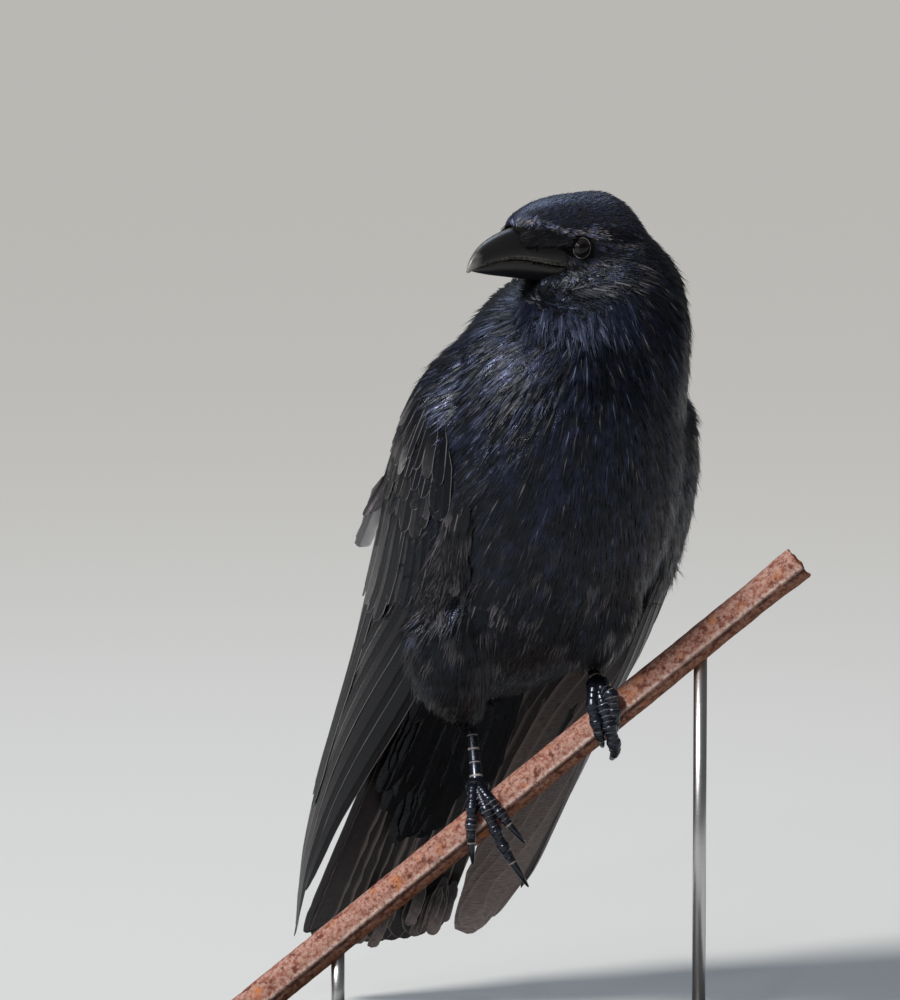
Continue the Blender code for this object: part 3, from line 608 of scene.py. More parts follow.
# worn, pale vanes in patches low on the belly; on the thigh their paleness is cut, painting it darker as
# shade
head_place = in_frame(HEAD, roots)
from_head = np.linalg.norm(head_place, axis=1)
trunk_place = in_frame(TRUNK, roots)
PATCH_CONTRAST, PATCH_START, PATCH_LIMIT = 2.6, 0.95, 0.9
THIGH_TOP, THIGH_SIDE, THIGH_SHADED_PALENESS, THIGH_SHADED_SHAFT_GLINTS = 76 * MM, 20 * MM, 0.35, 0.75
paleness = np.clip(PATCH_CONTRAST * patchy(roots) - PATCH_START, 0, PATCH_LIMIT)
paleness = paleness * soft_step(-60, 10, trunk_place[:, 1])
paleness *= soft_step(20, -10, trunk_place[:, 2])
on_thigh = (roots[:, 2] < GRIP.z + THIGH_TOP) & (roots[:, 0] < GRIP.x - THIGH_SIDE)
paleness *= np.where(on_thigh, THIGH_SHADED_PALENESS, 1.0)
# a pale line of the brow, from the bill over the eye and round behind it
ahead, rise, out = -head_place[:, 1], head_place[:, 2], np.abs(head_place[:, 0])
BROW = ((-24, 4), (-12, 0.5), (-6, 1.5), (-3, 6.8), (3, 7.2), (8, 6.3))
BROW += ((13.5, 6.4), (20, 8.3), (27.6, 10.3), (34, 10.0), (39, 8.2))
brow_rise = np.interp(ahead, *np.array(BROW).T)
brow_width = np.interp(ahead, (-5, 0, 4, 12), (0.9, 2.2, 2.0, 1.0))
brow = np.exp(-(((rise - brow_rise) / brow_width) ** 2))
brow = brow * soft_step(-26, -10, ahead) * soft_step(1, 3, out)
brow *= soft_step(70, 50, from_head) * (0.5 + 0.5 * soft_step(-6, -2, ahead))
BROW_PALENESS = 2.6
paleness = np.maximum(paleness, BROW_PALENESS * brow * rng.uniform(0.0, 1.0, len(roots)) ** 1.6)
# a few painted glints all over the head, fewer painted shaft highlights there and on the thigh, and a crown
# of even painted sheen
GLINT_SHARE, GLINT_PALENESS = 0.14, (0.1, 0.42)
CROWN_SHEEN_PALENESS, CROWN_GLOSS, HEAD_FEWER_SHAFT_GLINTS = 0.13, 0.35, 0.32
glints = (rng.random(len(roots)) < GLINT_SHARE) * rng.uniform(*GLINT_PALENESS, len(roots))
paleness = np.maximum(paleness, glints * soft_step(34, 26, from_head))
few_shaft_glints = 1 - HEAD_FEWER_SHAFT_GLINTS * soft_step(44, 30, from_head)
few_shaft_glints *= np.where(on_thigh, THIGH_SHADED_SHAFT_GLINTS, 1.0)
crown = soft_step(5, 11, rise) * soft_step(40, 32, from_head)
paleness = np.maximum(paleness, CROWN_SHEEN_PALENESS * crown)
tint = np.stack([paleness, values[:, 4], rng.random(len(roots)) * few_shaft_glints], 1)

HEAD_END, NAPE_END, NECK_END = 33, 46, 80  # how far from the middle of the head, in mm
BREAST_END, BACK_START = -14, 8
head, nape, neck = from_head < HEAD_END, from_head < NAPE_END, from_head < NECK_END
front, forward = trunk_place[:, 2] < BACK_START, trunk_place[:, 1] < BREAST_END
parts = {
    "coat_head": head,
    "coat_nape": ~head & nape,
    "coat_neck": ~nape & neck,
    "coat_breast": ~neck & front & forward,
    "coat_belly": ~neck & front & ~forward,
    "coat_back": ~neck & ~front,
}


def new_group(name, inputs, outputs):
    """New shader group, what it is given and what it makes. Each socket has its kind."""
    group = bpy.data.node_groups.new(name, "ShaderNodeTree")
    for way, sockets in (("INPUT", inputs), ("OUTPUT", outputs)):
        for socket, kind in sockets.items():
            group.interface.new_socket(socket, in_out=way, socket_type="NodeSocket" + kind)
    given = group.nodes.new("NodeGroupInput").outputs
    return group, given, group.nodes.new("NodeGroupOutput").inputs


def placed_group(tree, group, inputs):
    """A group placed in a material, with that material's values."""
    node = tree.nodes.new("ShaderNodeGroup")
    node.node_tree = group
    for socket, value in inputs.items():
        node.inputs[socket].default_value = value
    return node.outputs


def reckoned(tree, kind, first, second=0.0):
    """Sum, product or other result of two values."""
    return add_node(tree, "Math", {0: first, 1: second}, operation=kind).outputs["Value"]


def spread_over(tree, value, low, high, start=0.0, end=1.0):
    """A value that runs from start to end as another runs from low to high."""
    settings = {"Value": value, "From Min": low, "From Max": high, "To Min": start, "To Max": end}
    return add_node(tree, "MapRange", settings).outputs["Result"]


SHARE, FIRST_COLOUR, SECOND_COLOUR, MIXED_COLOUR = 0, 6, 7, 2  # sockets of a node that mixes colours


def mixed(tree, share, first, second):
    """Colour that goes from the first to the second as the share rises."""
    settings = {SHARE: share, FIRST_COLOUR: first, SECOND_COLOUR: second}
    return add_node(tree, "Mix", settings, data_type="RGBA").outputs[MIXED_COLOUR]


def tint_map(tree):
    """The three values of a piece's tint map."""
    tint = add_node(tree, "Attribute", {}, attribute_name="tint").outputs["Color"]
    split = add_node(tree, "SeparateColor", {"Color": tint}).outputs
    return split["Red"], split["Green"], split["Blue"]


def map_places(tree, name):
    """Places across and along on one of a vane's maps."""
    place = add_node(tree, "UVMap", {}, uv_map=name).outputs["UV"]
    split = add_node(tree, "SeparateXYZ", {"Vector": place}).outputs
    return split["X"], split["Y"]


def relief(tree, height, strength, distance):
    """Normal of a fine relief, for the shader."""
    settings = {"Height": height, "Strength": strength, "Distance": distance}
    return add_node(tree, "Bump", settings).outputs["Normal"]


def vane_group():
    """Finish of a vane, from its maps in mm and in shares and from its tint map: how pale (wear, and on
    some vanes painted glints and sheen), how glossy, and a number of its own. Barbs are fine streaks that
    slant off the shaft."""
    group, given, made = new_group(
        "vane_finish",
        {
            "Plain": "Color",
            "Gloss": "Color",
            "Pale": "Color",
            "Slant": "Float",
            "Fineness": "Float",
            "Roughness": "Float",
            "Edge": "Float",
        },
        {"Color": "Color", "Roughness": "Float", "Barbs": "Float"},
    )
    across, along = map_places(group, "vane")
    off_shaft = reckoned(group, "ABSOLUTE", across)
    slanted = reckoned(group, "MULTIPLY", off_shaft, given["Slant"])
    barb = reckoned(group, "SUBTRACT", along, slanted)
    fine = reckoned(group, "MULTIPLY", barb, given["Fineness"])
    slow = reckoned(group, "MULTIPLY", across, 0.35)
    streaks = add_node(group, "CombineXYZ", {"X": fine, "Y": slow}).outputs["Vector"]
    barbs = grain(group, streaks, 1.0, 3.0)
    worn, glossy, own = tint_map(group)
    share_across, share_along = map_places(group, "share")
    colour = mixed(group, glossy, given["Plain"], given["Gloss"])
    # paleness is deepest at the vane's tip; it is wear on some vanes and a painted glint on others
    near_tip = spread_over(group, share_along, 0.3, 0.85, start=0.12)
    pale_near_tip = reckoned(group, "MULTIPLY", worn, near_tip)
    colour = mixed(group, reckoned(group, "MULTIPLY", pale_near_tip, barbs), colour, given["Pale"])
    # one vane in three has a thin pale line painted along its shaft, as a highlight
    chosen = spread_over(group, own, 0.68, 0.95, end=0.5)
    shaft = spread_over(group, off_shaft, 0.35, 0.08)
    colour = mixed(group, reckoned(group, "MULTIPLY", chosen, shaft), colour, given["Pale"])
    # a thin pale rim along the edges, partly a worn fringe and partly a painted highlight
    from_shaft = reckoned(group, "ABSOLUTE", share_across)
    rim = spread_over(group, from_shaft, 0.86, 1.0, end=given["Edge"])
    colour = mixed(group, rim, colour, given["Pale"])
    smoothest = reckoned(group, "ADD", given["Roughness"], -0.1)
    roughest = reckoned(group, "ADD", given["Roughness"], 0.14)
    roughness = spread_over(group, own, 0, 1, smoothest, roughest)
    for socket, value in (("Color", colour), ("Roughness", roughness), ("Barbs", barbs)):
        group.links.new(value, made[socket])
    return group


VANE_FINISH = vane_group()
COOL, BLUE = (0.78, 0.85, 1.0, 1), (0.55, 0.63, 1.0, 1)


def vane_material(name, plain, gloss, pale, slant, fineness, roughness, edge, sheen, level):
    """Material of vanes. sheen and level are the colour and the strength of their shine."""
    material, tree = new_finish(name, {"Specular Tint": sheen, "Specular IOR Level": level})
    values = {"Plain": (*plain, 1), "Gloss": (*gloss, 1), "Pale": (*pale, 1), "Slant": slant}
    values |= {"Fineness": fineness, "Roughness": roughness, "Edge": edge}
    made = placed_group(tree, VANE_FINISH, values)
    normal = relief(tree, made["Barbs"], 0.55, 0.0004)
    feed_shader(tree, Base_Color=made["Color"], Roughness=made["Roughness"], Normal=normal)
    return material


# the pale colours serve worn and mottled vanes and also painted glints, sheen and shaft highlights
BODY_BLACK, BODY_GLOSS, BODY_PALE_AND_GLINT = (0.0028, 0.0027, 0.0030), (0.0030, 0.0035, 0.0060), (0.24, 0.22, 0.24)
BLUE_BLACK, BLUE_GLOSS, BLUE_PALE_AND_GLINT = (0.0028, 0.0031, 0.0046), (0.0036, 0.0050, 0.0110), (0.18, 0.21, 0.33)
plumage_black = vane_material(
    "plumage_black", BODY_BLACK, BODY_GLOSS, BODY_PALE_AND_GLINT, 1.2, 1.8, 0.32, edge=0.0, sheen=COOL, level=0.27
)
plumage_blue = vane_material(
    "plumage_blue", BLUE_BLACK, BLUE_GLOSS, BLUE_PALE_AND_GLINT, 1.0, 1.8, 0.32, edge=0.0, sheen=BLUE, level=0.5
)
VANE_SIZES = {"coat_head": TINY_VANE, "coat_nape": SMALL_VANE}
CAMBER, BODY_BARB, FACE_BARB, BODY_SHAPE = 0.10, 0.34, 0.42, 0.8
BLUE_SHARE = 0.55  # how many of the glossy vanes are blue
for name, chosen in parts.items():
    size = VANE_SIZES.get(name, BROAD_VANE)
    count = int(chosen.sum())
    points, place, share = vanes_on(
        coat_ground,
        roots[chosen],
        headings[chosen],
        lengths[chosen],
        half_widths[chosen],
        np.full(count, 0.05 * MM),
        lifts[chosen],
        camber=CAMBER,
        barb=BODY_BARB if size == BROAD_VANE else FACE_BARB,
        shape=np.full(count, BODY_SHAPE),
        size=size,
        flow=coat_flow,
    )
    faces = vane_template(*size, loose=True)
    patches = tuft_patches(roots[chosen], share)
    mesh = vane_mesh(name, faces, points, place, share, patches, tint[chosen])
    glossy = rng.random(count) < BLUE_SHARE * values[chosen, 4] + CROWN_GLOSS * crown[chosen]
    mesh.polygons.foreach_set("material_index", np.repeat(glossy, len(faces)).astype(np.int32))
    coat = new_piece(mesh, name, "plumage")
    coat.data.materials.append(plumage_black)
    coat.data.materials.append(plumage_blue)


def extra_tufts(name, roots, headings, length, half_width, low, high, tint, material, barb=0.4, shape=0.75):
    """One more layer of vanes that stand off the coat round them."""
    shapes = np.full(len(roots), shape)
    points, place, share = vanes_on(
        coat_ground, roots, headings, length, half_width, low, high, CAMBER, barb, shapes, BROAD_VANE
    )
    patches = tuft_patches(roots, share)
    mesh = vane_mesh(name, vane_template(*BROAD_VANE, loose=True), points, place, share, patches, tint)
    new_piece(mesh, name, "plumage").data.materials.append(material)


def along_curve(places, count, jitter):
    """Points scattered along a curve given in the frame's millimetres."""
    table = np.array([(k, *place) for k, place in enumerate(places)], float)
    spots = smooth_table(table, rng.uniform(0, len(places) - 1, count))[:, 1:]
    return spots + rng.normal(0, 1, (count, 3)) * jitter


# the ear coverts end in a raised edge that curves round behind the cheek
EAR_CURVE = ((24, 20, -13), (23, 17, -19), (21, 10, -24), (18, 1, -26), (14, -7, -25))
EAR_FEATHERS = 64
for side, word in ((1, "left"), (-1, "right")):
    edge = along_curve(EAR_CURVE, EAR_FEATHERS, 1.0)
    edge[:, 0] *= side
    turned = np.array(HEAD)
    roots_here = edge * MM @ turned[:3, :3].T + turned[:3, 3]
    headings_here = np.array((0.0, 0.75, -0.66)) + rng.normal(0, 0.12, (EAR_FEATHERS, 3))
    headings_here = headings_here @ turned[:3, :3].T
    ear_worn = 0.35 * rng.random(EAR_FEATHERS) ** 3
    tint_here = np.stack([ear_worn, np.full(EAR_FEATHERS, 0.2), rng.random(EAR_FEATHERS)], 1)
    extra_tufts(
        f"{word}_ear_edge",
        roots_here,
        headings_here,
        rng.uniform(8.0, 10.5, EAR_FEATHERS) * MM,
        rng.uniform(0.5, 0.75, EAR_FEATHERS) * MM,
        np.full(EAR_FEATHERS, 1.0 * MM),
        rng.uniform(1.6, 2.4, EAR_FEATHERS) * MM,
        tint_here,
        plumage_black,
    )

# pointed hackles hang from the throat, with a pale blue highlight painted near their tips, brightest in the
# middle of the band
THROAT_CURVE = ((-10, -44, 214), (6, -50, 211), (22, -50, 211), (38, -42, 213))
HACKLES = 110
hackle_spots = along_curve(THROAT_CURVE, HACKLES, (2, 2, 3.5))
hackle_headings = np.array((0.02, -0.1, -1.0)) + rng.normal(0, 0.10, (HACKLES, 3))
hackle_headings[:, 0] += (hackle_spots[:, 0] - 14) * 0.008
hackle_highlight = np.exp(-(((hackle_spots[:, 0] - 16) / 11) ** 2))
extra_tufts(
    "throat_hackles",
    hackle_spots * MM + np.array(GRIP),
    hackle_headings,
    rng.uniform(12, 17, HACKLES) * MM,
    rng.uniform(1.0, 1.5, HACKLES) * MM,
    np.full(HACKLES, 1.0 * MM),
    rng.uniform(2.2, 3.6, HACKLES) * MM,
    np.stack([1.3 * rng.random(HACKLES) ** 2 * hackle_highlight, np.ones(HACKLES), rng.random(HACKLES)], 1),
    plumage_blue,
    barb=0.5,
    shape=0.6,
)

# loose feathers of the flank lie over the near edge of the right wing, mottled with soft grey
FLANK_CURVE = ((-31, -36, 126), (-38, -36, 110), (-44, -34, 98), (-50, -30, 90))
FLANK_FEATHERS = 250
flank_spots = along_curve(FLANK_CURVE, FLANK_FEATHERS, (3, 2, 3))
flank_headings = np.array((-0.36, 0.0, -1.0)) + rng.normal(0, 0.10, (FLANK_FEATHERS, 3))
extra_tufts(
    "flank_feathers",
    flank_spots * MM + np.array(GRIP),
    flank_headings,
    rng.uniform(17, 25, FLANK_FEATHERS) * MM,
    rng.uniform(1.5, 2.4, FLANK_FEATHERS) * MM,
    np.full(FLANK_FEATHERS, 2.2 * MM),
    rng.uniform(4.2, 6.6, FLANK_FEATHERS) * MM,
    np.stack(
        [
            0.8 * rng.random(FLANK_FEATHERS) ** 4,
            np.full(FLANK_FEATHERS, 0.1),
            rng.random(FLANK_FEATHERS),
        ],
        1,
    ),
    plumage_black,
    barb=0.45,
)

# ------------------------------------------------------------------ wings
# Each folded wing is a stack of stiff vanes with a raised shaft: ten primaries that run to the tip,
# the secondaries over them, and rows of coverts over their roots. The innermost lies on top.
LOOSE, LOOSE_AT, LOOSE_REACH = 3.2, 135.0, 70.0  # the left wing hangs a little wider
TIP_FOLD, FOLD_START, FOLD_END = 9.0, 135, 235  # and its tip is folded in over the tail
TILT = 0.07  # each vane slopes down under the next one in
VANE_COLUMNS = np.array((-1, -0.86, -0.45, -0.06, 0, 0.06, 0.45, 0.86, 1))
SHAFT_HEIGHT, WAVE_HEIGHT = 0.30, 0.10


def wing_surface(side):
    """Two functions for one wing: its world points, and how many mm wide it is.

    t is tailward in mm, c goes from the leading edge (0) to the hind edge (1), and height is over
    the wing in mm.
    """
    turned = np.array(TRUNK)

    def place(t, c, height):
        _, across, level, rise, fall, lead, hind = np.moveaxis(smooth_table(WING_TABLE, t), -1, 0)
        angle = np.radians(lead + (hind - lead) * c)
        s = np.sin(angle)
        folded_in = 0.0
        if side > 0:
            across = across + LOOSE * np.exp(-(((t - LOOSE_AT) / LOOSE_REACH) ** 2))
            folded_in = TIP_FOLD * soft_step(FOLD_START, FOLD_END, t) * np.clip(c, 0, 1.2)
        sway = SWAY * np.exp(-(((t - SWAY_AT) / SWAY_REACH) ** 2))
        x = side * (across + height - folded_in) * np.cos(angle) + sway
        z = level + (np.where(s > 0, rise, fall) + height) * s
        local = np.stack([x, t, z], -1) * MM
        return local @ turned[:3, :3].T + turned[:3, 3]

    def breadth(t):
        _, across, _, rise, fall, lead, hind = np.moveaxis(smooth_table(WING_TABLE, t), -1, 0)
        return np.radians(hind - lead) * (across + rise) / 2

    return place, breadth


def stiff_vanes(surface, feathers, rows, ragged):
    """Corner points, places in mm and shares of stiff vanes that lie on a surface.

    A feather is its root (t, c), its tip (t, c), the half-widths of its outer and inner vanes and the
    heights of its root and tip in mm, how pointed its tip is, and its camber in mm.
    """
    place_at, breadth_at = surface
    feathers = np.array(feathers, float)[:, None, None, :]
    t0, c0, t1, c1, outer, inner, low, high, point, camber = np.moveaxis(feathers, -1, 0)
    # the rows stand closer together towards the rounded tip
    u = 1 - (1 - np.arange(rows + 1) / rows) ** 1.7
    u, v = np.meshgrid(u, VANE_COLUMNS, indexing="ij")
    u, v = u[None], v[None]
    length = t1 - t0
    t = t0 + length * u
    c = c0 + (c1 - c0) * u**1.15
    from_tip = np.clip((1 - u) * length / (point * (outer + inner) / 2), 0, 1)
    width = np.sqrt(1 - (1 - from_tip) ** 2) * (0.35 + 0.65 * soft_step(0, 0.22, u))
    width = width * (1 + ragged * rng.standard_normal(width.shape))
    off = v * np.where(v < 0, outer, inner) * width
    shaft = SHAFT_HEIGHT * (np.abs(v) < 0.03) * (1 - 0.7 * u)
    wave = WAVE_HEIGHT * np.sin(u * 11 + v * 2 + t0)
    tilt = TILT * np.maximum(off, 0)
    height = low + (high - low) * u**0.8 - camber * v * v * width + shaft + wave * np.abs(v) - tilt
    # the barbs at the end are longest beside the shaft, and a few have worn away
    t = t - ragged * 9 * np.abs(rng.standard_normal(t.shape)) * (u > 0.97)
    points = place_at(t, c + off / breadth_at(t), height)
    shape = points.shape[:3]
    place = np.stack([np.broadcast_to(off, shape), np.broadcast_to(length * u, shape)], -1)
    share = np.stack([np.broadcast_to(v, shape), np.broadcast_to(u, shape)], -1)
    count = len(points)
    return points.reshape(count, -1, 3), place.reshape(count, -1, 2), share.reshape(count, -1, 2)


def vane_atlas(share, count):
    """The bake map of stiff vanes: each has its own cell of a square."""
    side = math.ceil(math.sqrt(count))
    cell = np.stack([np.arange(count) % side, np.arange(count) // side], -1)[:, None, :]
    inside = np.stack([(share[..., 0] + 1) / 2, share[..., 1]], -1)
    return (cell + 0.04 + 0.92 * inside) / side


def turn_out(mesh):
    """Turns the faces round if they point into the body, as they do on the mirrored wing."""
    centre = np.array(TRUNK.translation)
    normals = np.empty(len(mesh.polygons) * 3, np.float32)
    middles = np.empty(len(mesh.polygons) * 3, np.float32)
    mesh.polygons.foreach_get("normal", normals)
    mesh.polygons.foreach_get("center", middles)
    axis = np.array(TRUNK.to_3x3() @ Vector((0, 1, 0)))
    out = middles.reshape(-1, 3) - centre
    out = out - np.outer(out @ axis, axis)
    if (out * normals.reshape(-1, 3)).sum() < 0:
        mesh.flip_normals()


def stiff_piece(name, material, surface, feathers, tint, rows, ragged, replaced=()):
    """Piece of stiff vanes. ragged is how uneven their edges are."""
    points, place, share = stiff_vanes(surface, feathers, rows, ragged)
    faces = vane_template(rows, len(VANE_COLUMNS) - 1, loose=False)
    mesh = vane_mesh(name, faces, points, place, share, vane_atlas(share, len(points)), tint)
    turn_out(mesh)
    piece = new_piece(mesh, name, "flight_feathers", *replaced)
    piece.data.materials.append(material)


def feather_row(tip_t, root_t, c_from, c_to, count, outer, inner, high, point, camber=0.5, slope=0.0):
    """One row of coverts from c_from to c_to, as stiff_vanes takes them. slope moves them tailward."""
    row = []
    for k in range(count):
        share = (k + 0.5) / count
        c = c_from + (c_to - c_from) * share
        wobble = rng.normal(0, 1, 4)
        row.append(
            (
                root_t + slope * share + wobble[0],
                c - 0.004 + 0.004 * wobble[1],
                tip_t + slope * share + 1.5 * wobble[2],
                c + 0.006 * wobble[3],
                outer,
                inner,
                high - 2.2,
                high + 0.15 * wobble[1],
                point,
                camber,
            )
        )
    return row


# the pale colour serves worn fringes and also painted highlights on coverts, rims and shafts
FLIGHT_BLACK, FLIGHT_PALE_AND_GLINT = (0.0028, 0.0026, 0.0027), (0.30, 0.29, 0.30)
BROWN, BROWN_PALE = (0.0100, 0.0081, 0.0077), (0.56, 0.46, 0.43)
flight_black = vane_material(
    "flight_black", FLIGHT_BLACK, BODY_GLOSS, FLIGHT_PALE_AND_GLINT, 0.9, 1.2, 0.30, edge=0.5, sheen=COOL, level=0.2
)
worn_brown = vane_material(
    "worn_brown", BROWN, BROWN, BROWN_PALE, 0.9, 1.2, 0.40, edge=0.42, sheen=COOL, level=0.25
)
# where each feather's tip lies, tailward in mm and from the leading edge to the hind edge
PRIMARY_TIPS = (214, 238, 250, 253, 246, 231, 214, 200, 188, 178)
PRIMARY_TIP_PLACES = (-0.02, 0.18, 0.42, 0.58, 0.74, 0.80, 0.82, 0.84, 0.86, 0.88)
SECONDARY_TIPS = (172, 169, 166, 163, 159, 154, 147, 136, 122)
SECONDARY_TIP_PLACES = (0.40, 0.47, 0.54, 0.61, 0.68, 0.75, 0.82, 0.89, 0.97)
for side, word in ((1, "left"), (-1, "right")):
    surface = wing_surface(side)
    primaries = []
    for k, (tip, c) in enumerate(zip(PRIMARY_TIPS, PRIMARY_TIP_PLACES)):
        root_t, root_c = -12 - 3.2 * k, 0.02 + 0.028 * k
        primaries.append((root_t, root_c, tip, c, 4.0 + 0.15 * k, 12.5, -1.6, -0.4, 4.2, 0.5))
    secondaries = []
    for k, (tip, c) in enumerate(zip(SECONDARY_TIPS, SECONDARY_TIP_PLACES)):
        root_t, root_c = -44 + 6.5 * k, 0.33 + 0.07 * k
        secondaries.append((root_t, root_c, tip, c, 6.0 + 0.3 * k, 13.5, -1.4, 0.1, 2.6, 0.6))
    for name, feathers in (("primaries", primaries), ("secondaries", secondaries)):
        # on the right wing a few feathers are painted pale near the tip as highlights; the left wing's tip
        # is worn
        worn = 0.3 * rng.random(len(feathers)) ** 3
        if side > 0:
            worn = np.array([1.0 if row[2] > 222 else 0.22 for row in feathers])
        tints = np.stack([worn, np.full(len(feathers), 0.15), rng.random(len(feathers))], 1)
        # the left wing shows the brown underside of its worn tip
        material = worn_brown if side > 0 and name == "primaries" else flight_black
        replaced = (f"wing_{word}_{name}",)
        stiff_piece(f"{word}_{name}", material, surface, feathers, tints, 26, 0.02, replaced)
    # greater and median coverts, then three rows of lesser ones that start where the flank ends
    median_start, lesser_start = (0.12, 0.03) if side < 0 else (0.32, 0.34)
    coverts = feather_row(52, -34, 0.24, 1.0, 14, 5.0, 7.5, 0.8, 1.8, slope=10)
    coverts += feather_row(-6, -48, median_start, 1.0, 15, 4.6, 6.5, 1.0, 1.6, slope=6)
    if side < 0:
        coverts += feather_row(12, -42, -0.03, 0.23, 8, 3.4, 6.0, 0.9, 2.2, slope=26)
        coverts += feather_row(-26, -52, 0.01, 0.12, 4, 3.4, 4.6, 1.1, 2.6, slope=10)
    for k in range(3):
        tip = -18 - 9.0 * k
        coverts += feather_row(tip, tip - 24, lesser_start, 1.02, 17 - k, 4.0, 4.6, 1.1, 1.4, camber=0.4)
    # a few coverts are painted pale towards their ends, as highlights
    worn, blue = 0.8 * rng.random(len(coverts)) ** 6, rng.uniform(0.2, 0.9, len(coverts))
    tints = np.stack([worn, blue, rng.random(len(coverts))], 1)
    replaced = (f"wing_{word}_coverts",)
    stiff_piece(f"{word}_coverts", flight_black, surface, coverts, tints, 8, 0.03, replaced)

# ------------------------------------------------------------------ tail
# Twelve stiff tail feathers in a narrow, slightly arched fan. The middle pair lies on top and the
# outermost are lowest; their worn ends make a ragged, rounded edge.
TAIL_START, TAIL_LENGTH, TAIL_END = 82, 177, 259
TAIL_HALF_START, TAIL_HALF_END, TAIL_ARCH = 32, 37.5, 4
TAIL_ASIDE, TAIL_SWING, TAIL_DROOP = -2.5, 0.05, -9.0


def tail_surface():
    """As wing_surface, for the tail: u goes from its right edge (-1) to its left edge (1)."""
    turned = np.array(TRUNK)

    def place(t, u, height):
        share = np.clip((t - TAIL_START) / TAIL_LENGTH, 0, 1.1)
        half = TAIL_HALF_START + (TAIL_HALF_END - TAIL_HALF_START) * share**0.8
        x = half * u + TAIL_ASIDE - TAIL_SWING * (t - TAIL_START)
        z = TAIL_DROOP * share - TAIL_ARCH * u * u + height
        t, x, z = np.broadcast_arrays(t, x, z)
        local = np.stack([x, t, z], -1) * MM
        return local @ turned[:3, :3].T + turned[:3, 3]

    def breadth(t):
        return np.full_like(t, 35.0)

    return place, breadth


def tail_end(u):
    """Where the rounded end of the tail lies."""
    return TAIL_END - 16 * abs(u) ** 2.2


tail_feathers = []
for k in range(6):
    for side in (-1, 1):
        u = side * (0.10 + 0.148 * k)
        end = tail_end(u)
        low = 0.6 - 0.42 * k
        wide, slim = 11.0, 6.0 - 0.3 * k
        halves = (slim, wide) if side < 0 else (wide, slim)
        tail_feathers.append((72, u * 0.96, end, u, *halves, low, low, 1.9, 0.6))
tail_tints = np.stack([rng.uniform(0.03, 0.16, 12), np.full(12, 0.1), rng.random(12)], 1)
stiff_piece("tail_feathers", worn_brown, tail_surface(), tail_feathers, tail_tints, 26, 0.035, ("tail",))

# softer feathers cover the tail's root from below
UNDERTAIL_FEATHERS = 26
undertail = []
for k in range(UNDERTAIL_FEATHERS):
    u = rng.uniform(-0.72, 0.72)
    end = 196 - 70 * abs(u) ** 1.5 - 60 * rng.random() ** 1.5
    low = -5.5 - 2.0 * (196 - end) / 60
    undertail.append((end - 66, u * 0.9, end, u, 6.5, 6.5, low, low + 1.5, 2.4, 0.8))
undertail.sort(key=lambda row: -row[2])
undertail_own = rng.random(UNDERTAIL_FEATHERS) * 0.6
undertail_tints = np.stack([np.zeros(UNDERTAIL_FEATHERS), np.zeros(UNDERTAIL_FEATHERS), undertail_own], 1)
stiff_piece("undertail_coverts", plumage_black, tail_surface(), undertail, undertail_tints, 14, 0.05)

# the older, shorter tail feathers end in small worn tips, pale at their rims
OLD_TIPS = 14
tail_tips = []
for k in range(OLD_TIPS):
    u = rng.uniform(-0.15, 0.9)
    end = tail_end(u) + rng.uniform(-16, 0)
    low = -4.4 - 0.10 * k
    tail_tips.append((end - 26, u * 0.97, end, u, 2.5, 2.8, low, low, 1.6, 0.6))
tail_tips.sort(key=lambda row: -row[2])
tip_worn = rng.uniform(0.15, 0.75, OLD_TIPS)
tip_tints = np.stack([tip_worn, np.full(OLD_TIPS, 0.1), rng.random(OLD_TIPS)], 1)
stiff_piece("tail_tips", worn_brown, tail_surface(), tail_tips, tip_tints, 10, 0.06)

# ------------------------------------------------------------------ loose scapulars
# A few scapular feathers have worked loose at the right wing's outer side. They stand off it, and
# the lowest, which is old and bleached, hangs clear with its pale grey end down.
GREY, GREY_PALE = (0.26, 0.26, 0.27), (0.55, 0.55, 0.56)
LOOSE_SCAPULARS = 9
bleached_grey = vane_material(
    "bleached_grey", GREY, GREY, GREY_PALE, 0.9, 1.2, 0.5, edge=0.6, sheen=COOL, level=0.27
)
wing_place, wing_breadth = wing_surface(-1)


def turned_out(c_here):
    """The wing's surface turned on edge at c_here: c is now how far off the wing, in 100 mm."""
    return (
        lambda t, c, height: wing_place(t, c_here + height / wing_breadth(t), c * 100),
        lambda t: np.full_like(t, 100.0),
    )


loose = []
for k in range(LOOSE_SCAPULARS):
    tip = 15 - 2.0 * abs(rng.normal(0, 1)) - (LOOSE_SCAPULARS - k) * 0.5
    stand = 0.002 + 0.0088 * k
    loose.append((tip - 36, -0.03, tip, stand, 1.5, 1.5, -1.8, -1.0 - 0.15 * k, 3.0, 0.3))
loose_worn = rng.uniform(0.6, 1.6, LOOSE_SCAPULARS)
loose_tints = np.stack([loose_worn, np.zeros(LOOSE_SCAPULARS), rng.random(LOOSE_SCAPULARS)], 1)
stiff_piece("loose_scapulars", plumage_black, turned_out(0.49), loose, loose_tints, 12, 0.06)
bleached = [
    (-6, 0.010, 33, 0.068, 4.6, 3.0, 0.6, 0.6, 1.2, 0.6),
    (-8, 0.005, 31, 0.052, 3.0, 4.2, 1.2, 1.2, 1.4, 0.5),
]
bleached_tints = np.array([(0.4, 0, 0.5), (1.6, 0, 0.3)])
stiff_piece("bleached_feather", bleached_grey, turned_out(0.48), bleached, bleached_tints, 16, 0.05)

